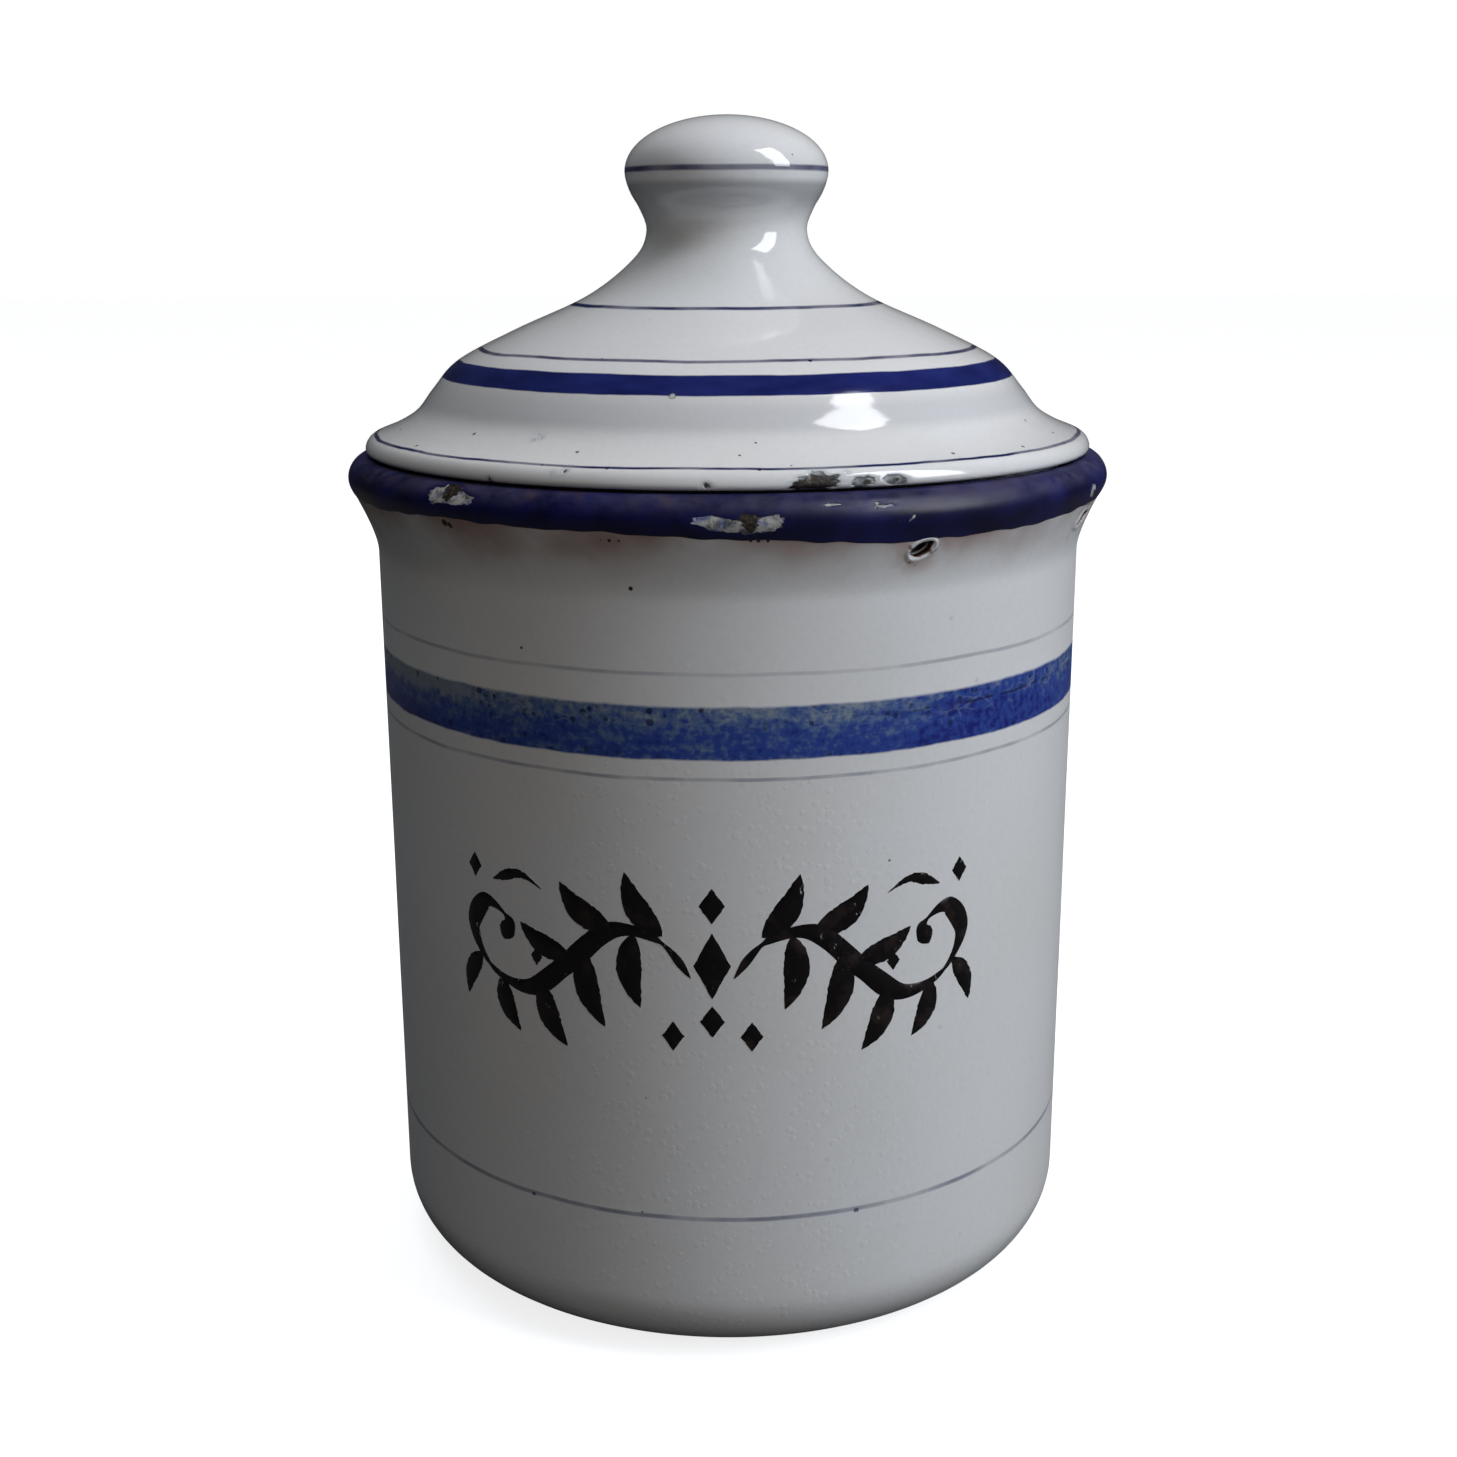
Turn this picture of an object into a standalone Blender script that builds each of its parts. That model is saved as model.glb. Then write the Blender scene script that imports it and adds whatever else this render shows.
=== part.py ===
"""Enamelled sheet-steel kitchen canister with a lift-off lid.

The jar is a drawn steel cup whose mouth flares and rolls inward over a wire. The lid is a stepped
pressing that is drawn up into a hollow neck, closed by a domed cap, with a collar below that enters
the mouth. Glass enamel is fired on the steel in coats of their own thickness. Everything is turned
about +Z, and stands on z = 0. Lengths are in metres.
"""

import math

import bmesh
import bpy
from mathutils import Matrix, Vector

MM = 0.001
FACETS = 24                      # flats around every turned piece, so that the coats nest flat on flat

# sheet and coats, measured inward from the finished outside
COAT = 0.25 * MM                 # fired enamel
GAP = 0.05 * MM                  # clearance that keeps steel and coat apart as solids
STEEL = 0.60 * MM                # sheet
STEEL_IN = COAT + GAP            # depth of the sheet's outer face
STEEL_OUT = STEEL_IN + STEEL     # depth of its inner face
INNER_COAT = STEEL_OUT + GAP     # depth where the inside coat starts

# jar
WALL_R = 47.5 * MM               # straight wall, outside
CORNER_R = 9.5 * MM              # between base and wall
FLARE_Z = 98.8 * MM              # where the wall starts to open out
BEAD_R = 48.15 * MM              # centre circle of the rolled rim
BEAD_Z = 108.65 * MM
BEAD_TUBE_R = 2.8 * MM
BEAD_START = -27.5               # angle on the rim's section where the flare runs into it
BEAD_END = 250.0                 # angle of the rolled-in free edge
BLUE_DROP = 0.6 * MM             # how far the blue coat reaches down the flare from there
BLUE_GAP = 0.07 * MM             # between the white coat's edge and the blue one's
WIRE_R = 1.7 * MM
INNER_COAT_TOP = 106.0 * MM

# slanted oval vent holes under the rim, a pair on each of two opposite sides
VENT_Z = 104.4 * MM
VENT_HALF_LENGTH = 1.5 * MM
VENT_HALF_WIDTH = 0.9 * MM
VENT_SLANT = 25.0                # rises towards +X, seen from outside
VENT_ANGLES = (27.0, 66.0, 207.0, 246.0)                  # from the front, towards +X

# lid
RIM_R = 46.6 * MM                # centre of the turned-down edge's section
RIM_Z = 112.15 * MM
RIM_TUBE_R = 2.0 * MM
RIM_TOP = 68.0                   # angles between which the edge is round
RIM_BOTTOM = -12.0
SEAM_R = 13.4 * MM               # widest line of the knob, where its cap is joined on
SEAM_Z = 147.6 * MM
DOME_H = 7.0 * MM
SEAM_GAP = 0.15 * MM             # each side of the seam
LIP_R = 11.7 * MM                # the cap's lip inside the neck
LIP_LENGTH = 1.8 * MM
NECK_COAT_TOP = 137.0 * MM       # the underside's coat ends inside the neck
# the ogee between the seam and the turned-down edge, as (radius, height)
LID_LINE = [
    (12.2 * MM, 144.5 * MM),
    (10.65 * MM, 140.7 * MM),
    (12.3 * MM, 136.6 * MM),
    (18.5 * MM, 131.7 * MM),
    (28.3 * MM, 127.3 * MM),
    (36.0 * MM, 123.4 * MM),
    (39.4 * MM, 119.8 * MM),
    (41.7 * MM, 116.9 * MM),
    (44.6 * MM, 115.1 * MM),
]

# collar under the lid
SKIRT_R = 44.6 * MM
SKIRT_BOTTOM = 101.0 * MM
SKIRT_TOP = 113.1 * MM
SKIRT_SHEET = 0.7 * MM
FLANGE_R = 42.3 * MM             # inner edge of its flange, which lies along the lid's slope
FLANGE_Z = 114.6 * MM


def clear_scene():
    for obj in list(bpy.data.objects):
        bpy.data.objects.remove(obj, do_unlink=True)


def new_collection(name):
    group = bpy.data.collections.new(name)
    bpy.context.scene.collection.children.link(group)
    return group


def principled(name, colour, roughness, metallic=0.0):
    material = bpy.data.materials.new(name)
    material.use_nodes = True
    shader = material.node_tree.nodes["Principled BSDF"]
    shader.inputs["Base Color"].default_value = (*colour, 1.0)
    shader.inputs["Roughness"].default_value = roughness
    shader.inputs["Metallic"].default_value = metallic
    return material


# Lines are lists of (radius, height) in the half plane through the axis.

def arc(centre, radius, start, end, steps):
    """Points on a circle from one angle to another, both included."""
    angles = [math.radians(start + (end - start) * i / steps) for i in range(steps + 1)]
    return [(centre[0] + radius * math.cos(a), centre[1] + radius * math.sin(a)) for a in angles]


def bend(start, corner, end, steps):
    """Quadratic curve that leaves start towards corner and arrives at end from it."""
    points = []
    for i in range(steps + 1):
        t = i / steps
        w = ((1 - t) ** 2, 2 * t * (1 - t), t ** 2)
        points.append(tuple(w[0] * a + w[1] * b + w[2] * c for a, b, c in zip(start, corner, end)))
    return points


def flowing(points, steps):
    """Smooth curve through every point but the first and last, which only steer its ends."""
    line = []
    for p0, p1, p2, p3 in zip(points, points[1:], points[2:], points[3:]):
        for i in range(steps):
            t = i / steps
            line.append(tuple(
                0.5 * (2 * b + (c - a) * t + (2 * a - 5 * b + 4 * c - d) * t ** 2
                       + (3 * b - a - 3 * c + d) * t ** 3)
                for a, b, c, d in zip(p0, p1, p2, p3)))
    line.append(points[-2])
    return line


def inset(line, depth):
    """The parallel line at a depth to the right of the way the line runs; ends on the axis stay on it."""
    points = [Vector(p) for p in line]
    sides = []
    for a, b in zip(points, points[1:]):
        run = (b - a).normalized()
        sides.append(Vector((run.y, -run.x)))
    result = []
    for i, p in enumerate(points):
        before = sides[max(i - 1, 0)]
        after = sides[min(i, len(sides) - 1)]
        mitre = (before + after).normalized()
        moved = p + mitre * (depth / mitre.dot(after))
        if p.x == 0.0:
            moved.x = 0.0
        result.append((moved.x, moved.y))
    return result


def clip_above(line, height):
    """The part of a rising line below a height, with a last point exactly there."""
    kept = [line[0]]
    for a, b in zip(line, line[1:]):
        if b[1] >= height:
            t = (height - a[1]) / (b[1] - a[1])
            kept.append((a[0] + (b[0] - a[0]) * t, height))
            break
        kept.append(b)
    return kept


def clip_below(line, height):
    """The part of a falling line above a height, with a last point exactly there."""
    flipped = [(r, -z) for r, z in line]
    return [(r, -z) for r, z in clip_above(flipped, -height)]


def turned(name, outline, material, group, closed=False):
    """A solid of revolution. The outline runs down its outer side; it is closed for a ring."""
    mesh = bpy.data.meshes.new(name)
    edges = [(i, i + 1) for i in range(len(outline) - 1)]
    if closed:
        edges.append((len(outline) - 1, 0))
    mesh.from_pydata([(r, 0.0, z) for r, z in outline], edges, [])
    mesh.materials.append(material)
    obj = bpy.data.objects.new(name, mesh)
    group.objects.link(obj)
    screw = obj.modifiers.new("turn", "SCREW")
    screw.steps = FACETS
    screw.render_steps = FACETS
    screw.use_merge_vertices = True
    screw.merge_threshold = 0.01 * MM
    screw.use_smooth_shade = True
    return obj


def shell(name, line, outer, inner, material, group):
    """A layer of an outline that rises from the axis or an edge, between two depths below its face."""
    skin = inset(line, -outer)
    back = inset(line, -inner)
    on_axis = line[0][0] == 0.0
    return turned(name, back + skin[::-1], material, group, closed=not on_axis)


def jar_line():
    """Outside of the jar from the centre of its base up to where the flare runs into the rim."""
    joint = arc((BEAD_R, BEAD_Z), BEAD_TUBE_R, BEAD_START, BEAD_START, 1)[0]
    slope = math.radians(BEAD_START)
    rise = (joint[0] - WALL_R) / -math.tan(slope)
    corner = arc((WALL_R - CORNER_R, CORNER_R), CORNER_R, -90, 0, 5)
    flare = bend((WALL_R, FLARE_Z), (WALL_R, joint[1] - rise), joint, 4)
    return [(0.0, 0.0)] + corner + flare


def bead_line():
    return arc((BEAD_R, BEAD_Z), BEAD_TUBE_R, BEAD_START, BEAD_END, 9)


def down_from_end(line, distance):
    """The point that lies a distance back from a line's end, on its last stretch."""
    end = Vector(line[-1])
    back = (Vector(line[-2]) - end).normalized()
    return tuple(end + back * distance)


def vent_cutters(group):
    """One cutter with an oval bar through every vent hole."""
    length = 8 * MM
    section = Matrix.Rotation(math.radians(VENT_SLANT), 4, "Z")
    section = section @ Matrix.Diagonal((VENT_HALF_LENGTH, VENT_HALF_WIDTH, 1.0, 1.0))
    mesh = bmesh.new()
    for angle in VENT_ANGLES:
        a = math.radians(angle)
        outward = Vector((math.sin(a), -math.cos(a), 0.0))
        place = Matrix.Translation(outward * (WALL_R + 0.5 * MM) + Vector((0.0, 0.0, VENT_Z)))
        turn = outward.to_track_quat("Z", "Y").to_matrix().to_4x4()
        bmesh.ops.create_cone(mesh, cap_ends=True, segments=10, radius1=1.0, radius2=1.0,
                              depth=length, matrix=place @ turn @ section)
    data = bpy.data.meshes.new("vent_bars")
    mesh.to_mesh(data)
    mesh.free()
    cutter = bpy.data.objects.new("vent_bars", data)
    cutter.hide_render = True
    cutter.display_type = "WIRE"
    group.objects.link(cutter)
    return cutter


def pierce(obj, cutter):
    cut = obj.modifiers.new("vents", "BOOLEAN")
    cut.operation = "DIFFERENCE"
    cut.solver = "EXACT"
    cut.object = cutter


def build_jar(group, cutter_group, paint):
    wall = jar_line()
    white = wall[:-1] + [down_from_end(wall, BLUE_DROP + BLUE_GAP)]
    bead = bead_line()
    blue = [down_from_end(wall, BLUE_DROP)] + bead
    cutter = vent_cutters(cutter_group)

    steel = shell("jar_shell", wall + bead[1:], STEEL_IN, STEEL_OUT, paint["steel"], group)
    outside = shell("jar_outer_enamel", white, 0.0, COAT, paint["white"], group)
    lining = clip_above(inset(wall, -INNER_COAT), INNER_COAT_TOP)
    inside = shell("jar_inner_enamel", lining, 0.0, COAT, paint["white"], group)
    shell("rim_enamel", blue, 0.0, COAT, paint["blue"], group)
    section = arc((BEAD_R, BEAD_Z), WIRE_R, 90, -225, 7)
    turned("rim_wire", section, paint["wire"], group, closed=True)
    for obj in (steel, outside, inside):
        pierce(obj, cutter)


def lid_line():
    """Outside of the lid below the seam, from its turned-down edge up to the seam."""
    edge = arc((RIM_R, RIM_Z), RIM_TUBE_R, RIM_TOP, RIM_BOTTOM, 4)
    steer = [(SEAM_R - 0.4 * MM, SEAM_Z + 3.2 * MM), (SEAM_R, SEAM_Z)]
    ogee = flowing(steer + LID_LINE + edge[:2], 2)
    return (ogee + edge[1:])[::-1]


def dome_line():
    """Outside of the knob's cap from the seam up to the axis: a quarter of an ellipse."""
    steps = 5
    angles = [math.radians(90 * i / steps) for i in range(steps)]
    round_part = [(SEAM_R * math.cos(a), SEAM_Z + DOME_H * math.sin(a)) for a in angles]
    return round_part + [(0.0, SEAM_Z + DOME_H)]


def build_cap(dome, material, group):
    """The knob's domed cap, with a stepped-in lip that fits in the neck."""
    seam = SEAM_Z + SEAM_GAP
    skin = clip_below(inset(dome, -STEEL_IN)[::-1], seam)
    back = clip_below(inset(dome, -STEEL_OUT)[::-1], seam + STEEL)
    lip = [(LIP_R, seam), (LIP_R, seam - LIP_LENGTH)]
    lip += [(LIP_R - STEEL, seam - LIP_LENGTH), (LIP_R - STEEL, seam + STEEL)]
    turned("knob_cap", skin + lip + back[::-1], material, group)


def build_lid(group, paint):
    below = lid_line()
    dome = dome_line()
    whole = below + dome[1:]
    coat = inset(whole, -COAT)
    turned("lid_outer_enamel", whole[::-1] + coat, paint["white"], group)
    pressing = below[:-1] + [(SEAM_R, SEAM_Z - SEAM_GAP)]
    shell("lid_shell", pressing, STEEL_IN, STEEL_OUT, paint["steel"], group)
    build_cap(dome, paint["steel"], group)
    underside = clip_above(inset(below, -INNER_COAT), NECK_COAT_TOP)
    shell("lid_inner_enamel", underside, 0.0, COAT, paint["white"], group)
    collar = [(SKIRT_R, SKIRT_BOTTOM), (SKIRT_R, SKIRT_TOP), (FLANGE_R, FLANGE_Z)]
    shell("lid_skirt", collar, 0.0, SKIRT_SHEET, paint["white"], group)


def main():
    clear_scene()
    canister = new_collection("enamelled_canister")
    cutters = new_collection("cutters")
    paint = {
        "steel": principled("dark_steel", (0.09, 0.075, 0.065), 0.55, 0.8),
        "wire": principled("drawn_wire", (0.30, 0.29, 0.28), 0.40, 1.0),
        "white": principled("white_enamel", (0.74, 0.76, 0.78), 0.12),
        "blue": principled("cobalt_enamel", (0.02, 0.03, 0.16), 0.15),
    }
    jar = bpy.data.objects.new("jar_frame", None)
    lid = bpy.data.objects.new("lid_lift_axis", None)
    for frame in (jar, lid):
        canister.objects.link(frame)
    build_jar(canister, cutters, paint)
    build_lid(canister, paint)
    for obj in canister.objects:
        if obj.type == "MESH":
            obj.parent = lid if obj.name.startswith(("lid_", "knob_")) else jar


main()
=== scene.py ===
"""The finished look of an enamelled kitchen canister with a lift-off lid.

Every layer of the real thing is its own closed sheet turned about +Z: drawn steel, the white glass fired on
both sides of it, and the cobalt glass over the rolled rim. Outlines are in millimetres, as radius and height;
angles run in degrees from the decorated front (-Y) towards +X.
"""

import math

import bpy
import numpy as np
from mathutils import Euler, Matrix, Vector


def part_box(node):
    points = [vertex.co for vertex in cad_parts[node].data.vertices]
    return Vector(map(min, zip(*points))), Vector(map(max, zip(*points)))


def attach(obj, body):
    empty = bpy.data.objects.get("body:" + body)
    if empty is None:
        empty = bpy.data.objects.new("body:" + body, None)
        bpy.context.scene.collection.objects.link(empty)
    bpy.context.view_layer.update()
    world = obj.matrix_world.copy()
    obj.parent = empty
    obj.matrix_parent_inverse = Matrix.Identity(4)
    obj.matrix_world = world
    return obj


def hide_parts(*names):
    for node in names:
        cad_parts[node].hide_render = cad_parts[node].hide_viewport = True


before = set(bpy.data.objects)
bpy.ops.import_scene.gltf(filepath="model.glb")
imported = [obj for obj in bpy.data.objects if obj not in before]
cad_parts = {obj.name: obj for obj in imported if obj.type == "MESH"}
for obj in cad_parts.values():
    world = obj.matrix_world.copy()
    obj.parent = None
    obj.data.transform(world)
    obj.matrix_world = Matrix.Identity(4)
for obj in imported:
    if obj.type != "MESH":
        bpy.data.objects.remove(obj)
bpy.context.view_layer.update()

MM = 0.001


# ---------------------------------------------------------------- sizes read from the frame

def top_of(node):
    """Largest radius and height of a CAD node."""
    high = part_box(node)[1]
    return high.x / MM, high.z / MM


def widest_below(node, height):
    """Largest radius that a CAD node has below a height."""
    points = np.array([v.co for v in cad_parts[node].data.vertices]) / MM
    low = points[points[:, 2] < height]
    return float(np.hypot(low[:, 0], low[:, 1]).max())


# sheet and coats, as depths below the finished outside
COAT = 0.25
STEEL_FACE = 0.30
STEEL_BACK = 0.90
LINING_FACE = 0.95
LINING_BACK = 1.20

# jar
WALL_R = widest_below("jar_outer_enamel", 60.0)
CORNER_R = 9.5
FLARE_Z = 98.8
RIM_OUT, RIM_TOP = top_of("rim_enamel")
BEAD_TUBE = 2.8
BEAD_R = RIM_OUT - BEAD_TUBE
BEAD_Z = RIM_TOP - BEAD_TUBE
BEAD_START = -27.5                # where the flare runs into the rolled rim
BEAD_END = 250.0                  # its rolled-in free edge
WIRE_R = 1.7
LINING_TOP = 106.0

# slanted oval vents under the rim
VENT_ANGLES = (27.0, 66.0, 207.0, 246.0)
VENT_Z = 104.4
VENT_LONG = 1.55
VENT_SHORT = 0.93
VENT_SLANT = 25.0
VENT_PATCH = 2.6                  # half size of the patch of mesh that is drawn round each vent
VENT_SQUARE = 1.2                 # half size of the square of mesh that is opened into the oval
OFFSETS = [0, 0.6, 1.2, 1.6, 2.1, 2.6]       # lines of that patch, from its middle outwards
FINE_OFFSETS = [0, 0.3, 0.6, 0.9, 1.2, 1.35, 1.5, 1.65, 1.8, 2.0, 2.2, 2.6]

# lid
EDGE_OUT, LID_TOP = top_of("lid_outer_enamel")
EDGE_TUBE = 2.0
EDGE_R = EDGE_OUT - EDGE_TUBE
EDGE_Z = RIM_TOP + 0.70
EDGE_TOP = 68.0                   # angles between which the turned-down edge is round
EDGE_END = 8.0
WRAP_END = 50.0                   # how far the outer coat comes back up inside the edge
DOME_H = 7.0
SEAM_R = 13.4
SEAM_Z = LID_TOP - DOME_H
NECK_TOP = 137.0
LIP_R = 11.7
COLLAR_R, _ = top_of("lid_skirt")
COLLAR_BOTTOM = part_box("lid_skirt")[0].z / MM
COLLAR_SHEET = 0.7
COLLAR_BEND = 113.1
FLANGE_R = 42.3
KNEE_R = 1.6                      # bend between the collar's wall and its flange
KNEE_TURN = 42.0
# radius and height down the lid, from under the knob to the turned-down edge
OGEE = [
    (13.15, 145.95), (12.5, 144.4), (11.5, 142.7), (10.65, 139.9), (12.3, 136.5), (18.5, 131.7),
    (28.3, 127.3), (36.0, 123.4), (39.4, 119.8), (41.7, 116.9), (44.6, 115.1),
]

# painted bands and lines, by height
FOOT_LINE = 20.85
LOWER_LINE = 77.85
BAND = (80.2, 86.65)
UPPER_LINE = 90.45
LID_BAND = (121.4, 123.6)
LID_LINES = (114.05, 125.0, 130.65)
SEAM_LINE = SEAM_Z + 0.05

# the ornament in front
ORNAMENT_ANGLE = -2.5
ORNAMENT_Z = 54.0


# ---------------------------------------------------------------- outlines

def arc(centre, radius, start, end, steps):
    """Points on a circle from one angle to another, both included."""
    turn = np.radians(np.linspace(start, end, steps + 1))
    return [(centre[0] + radius * math.cos(t), centre[1] + radius * math.sin(t)) for t in turn]


def bend(start, corner, end, steps):
    """Quadratic curve that leaves start towards corner and arrives at end from it."""
    t = np.linspace(0.0, 1.0, steps + 1)[:, None]
    curve = (1 - t) ** 2 * np.array(start) + 2 * t * (1 - t) * np.array(corner) + t ** 2 * np.array(end)
    return [tuple(p) for p in curve]


def flowing(points, steps):
    """Smooth curve through every point but the first and last, which only steer its ends."""
    points = [np.array(p, float) for p in points]
    line = []
    for p0, p1, p2, p3 in zip(points, points[1:], points[2:], points[3:]):
        for t in np.linspace(0.0, 1.0, steps, endpoint=False):
            line.append(0.5 * (2 * p1 + (p2 - p0) * t + (2 * p0 - 5 * p1 + 4 * p2 - p3) * t ** 2
                               + (3 * p1 - p0 - 3 * p2 + p3) * t ** 3))
    line.append(points[-2])
    return [tuple(p) for p in line]


def lengths_along(points):
    """Distance from the first point to each point of a line."""
    return np.r_[0.0, np.cumsum(np.hypot(*np.diff(points, axis=0).T))]


def headings(points, *run):
    """Unit direction of a line at each of its points."""
    way = np.gradient(points, *run, axis=0)
    return way / np.hypot(*way.T)[:, None]


class Outline:
    """A fine line in the half plane through the axis. Its outer side is on the right of the way it runs."""

    def __init__(self, points):
        points = np.array(points, float)
        apart = np.hypot(*np.diff(points, axis=0).T)
        self.points = points[np.r_[True, apart > 1e-6]]
        self.run = lengths_along(self.points)
        way = headings(self.points, self.run)
        self.side = np.c_[way[:, 1], -way[:, 0]]

    @property
    def length(self):
        return self.run[-1]

    def at(self, s):
        """Radius and height at a distance along the line."""
        return np.interp(s, self.run, self.points[:, 0]), np.interp(s, self.run, self.points[:, 1])

    def out(self, s):
        """Direction of the outer side there."""
        r = np.interp(s, self.run, self.side[:, 0])
        z = np.interp(s, self.run, self.side[:, 1])
        size = np.hypot(r, z)
        return r / size, z / size

    def where(self, height):
        """Distance at which a rising line first reaches a height."""
        above = np.nonzero(self.points[:, 1] >= height)[0][0]
        (_, z0), (_, z1) = self.points[above - 1], self.points[above]
        t = (height - z0) / (z1 - z0)
        return self.run[above - 1] + (self.run[above] - self.run[above - 1]) * t

    def moved(self, depth, start=0.0, end=None):
        """Points of the parallel line at a depth below this one, between two distances along it."""
        end = self.length if end is None else end
        inside = self.run[(self.run > start + 1e-6) & (self.run < end - 1e-6)]
        s = np.r_[start, inside, end]
        r, z = self.at(s)
        side_r, side_z = self.out(s)
        r = np.where(np.abs(r) < 1e-9, 0.0, r - side_r * depth)
        return np.c_[r, z - side_z * depth]


def thinned(points, step):
    """Every point of a line that lies at least a step from the one before, and the last."""
    kept = [points[0]]
    for p in points[1:-1]:
        if math.dist(p, kept[-1]) >= step:
            kept.append(p)
    if math.dist(points[-1], kept[-1]) < 0.4 * step and len(kept) > 1:
        kept.pop()
    return np.array(kept + [points[-1]])


def jar_outline():
    """From the centre of the base, up the wall and flare, and round the rolled rim."""
    joint = arc((BEAD_R, BEAD_Z), BEAD_TUBE, BEAD_START, BEAD_START, 1)[0]
    rise = (joint[0] - WALL_R) / -math.tan(math.radians(BEAD_START))
    base = [(r, 0.0) for r in np.linspace(0.0, WALL_R - CORNER_R, 30)]
    corner = arc((WALL_R - CORNER_R, CORNER_R), CORNER_R, -90, 0, 60)
    wall = [(WALL_R, z) for z in np.linspace(CORNER_R, FLARE_Z, 60)]
    flare = bend((WALL_R, FLARE_Z), (WALL_R, joint[1] - rise), joint, 60)
    return Outline(base + corner[1:] + wall[1:] + flare[1:])


def rim_outline(jar):
    """The jar's outline with its rolled rim."""
    bead = arc((BEAD_R, BEAD_Z), BEAD_TUBE, BEAD_START, BEAD_END, 200)
    return Outline([tuple(p) for p in jar.points] + bead[1:])


def lid_outline():
    """From the turned-down edge up the ogee and over the knob to the axis."""
    edge = arc((EDGE_R, EDGE_Z), EDGE_TUBE, EDGE_TOP, EDGE_END, 60)
    coarse = arc((EDGE_R, EDGE_Z), EDGE_TUBE, EDGE_TOP, -12.0, 4)
    steer = [(SEAM_R - 0.4, SEAM_Z + 3.2), (SEAM_R, SEAM_Z)]
    ogee = flowing(steer + OGEE + coarse[:2], 24)
    dome = [(SEAM_R * math.cos(t), SEAM_Z + DOME_H * math.sin(t)) for t in np.radians(np.linspace(0, 90, 50))]
    dome[-1] = (0.0, LID_TOP)
    return Outline((ogee + edge[1:])[::-1] + dome[1:])


# ---------------------------------------------------------------- meshes

SHARP = 40.0                      # edges that turn by more degrees than this are shaded sharp
UNUSED = -9.0                     # value of a field where it has nothing to say


def columns(step, fine=(), offsets=()):
    """Angles right round, at most a step apart, with a finer set about each given angle."""
    marks = [c + o for c in fine for o in offsets] or [0.0]
    marks = np.unique(np.round(np.mod(marks, 360.0), 4))
    angles = []
    for a, b in zip(marks, np.r_[marks[1:], marks[0] + 360.0]):
        count = max(1, math.ceil((b - a) / step - 1e-6))
        angles.extend(a + (b - a) * i / count for i in range(count))
    return np.array(angles)


def surface(line, s, a, lift):
    """Points of a surface of revolution at distances along a line and angles in degrees, lifted off it."""
    r, z = line.at(s)
    side_r, side_z = line.out(s)
    r = np.where(np.abs(r) < 1e-9, 0.0, r + side_r * lift)
    turn = np.radians(a)
    return np.stack([r * np.sin(turn), -r * np.cos(turn), z + side_z * lift], axis=-1)


def grid_faces(rows, cols, kept=None):
    """Corner numbers of the quads of a grid that closes on itself sideways, facing out."""
    i, j = np.meshgrid(np.arange(rows - 1), np.arange(cols), indexing="ij")
    right = (j + 1) % cols
    quads = np.stack([i * cols + j, i * cols + right, (i + 1) * cols + right, (i + 1) * cols + j], axis=-1)
    return quads.reshape(-1, 4) if kept is None else quads[kept]


def free_edges(quads):
    """Edges, in the direction their only face runs them."""
    edges = np.concatenate([quads[:, [k, (k + 1) % 4]] for k in range(4)])
    edges = edges[edges[:, 0] != edges[:, 1]]
    size = int(edges.max()) + 1
    key = edges.min(axis=1).astype(np.int64) * size + edges.max(axis=1)
    _, back, count = np.unique(key, return_inverse=True, return_counts=True)
    return edges[count[back] == 1]


def add_piece(name, points, faces, fields, material, sharp):
    """An object from points in millimetres and faces, smooth except over its sharp edges."""
    mesh = bpy.data.meshes.new(name)
    mesh.from_pydata((points * MM).tolist(), [], faces)
    for field, values in fields.items():
        mesh.attributes.new(field, "FLOAT", "POINT").data.foreach_set("value", values.astype(np.float32))
    mesh.shade_smooth()
    mesh.set_sharp_from_angle(angle=math.radians(sharp))
    mesh.materials.append(material)
    piece = bpy.data.objects.new(name, mesh)
    bpy.context.scene.collection.objects.link(piece)
    return piece


def make_mesh(name, points, quads, fields, material):
    """A piece from quads, whose repeated corners make triangles; points that no quad uses are left out."""
    used, quads = np.unique(quads, return_inverse=True)
    faces = []
    for face in quads.reshape(-1, 4).tolist():
        corners = [v for k, v in enumerate(face) if v != face[k - 1]]
        if len(corners) > 2:
            faces.append(corners)
    fields = {key: values[used] for key, values in fields.items()}
    return add_piece(name, points[used], faces, fields, material, SHARP)


def merge_axis(points, quads, rows, cols, first):
    """Quads whose grid rows on the axis are drawn together into one point each."""
    quads = quads.copy()
    for row in (0, rows - 1):
        start = first + row * cols
        if np.abs(points[start:start + cols, :2]).max() < 1e-6:
            on_row = (quads >= start) & (quads < start + cols)
            quads[on_row] = start
    return quads


def sheet(name, outer, inner, fields, material, kept=None):
    """A closed sheet between two grids of points, open where quads are left out."""
    rows, cols = outer.shape[:2]
    count = rows * cols
    points = np.concatenate([outer.reshape(-1, 3), inner.reshape(-1, 3)])
    front = merge_axis(points, grid_faces(rows, cols, kept), rows, cols, 0)
    rim = free_edges(front)
    back = merge_axis(points, grid_faces(rows, cols, kept) + count, rows, cols, count)
    walls = np.stack([rim[:, 1], rim[:, 0], rim[:, 0] + count, rim[:, 1] + count], axis=-1)
    quads = np.concatenate([front, back[:, ::-1], walls])
    fields = {key: np.r_[value.ravel(), np.full(count, UNUSED)] for key, value in fields.items()}
    return make_mesh(name, points, quads, fields, material)


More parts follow.
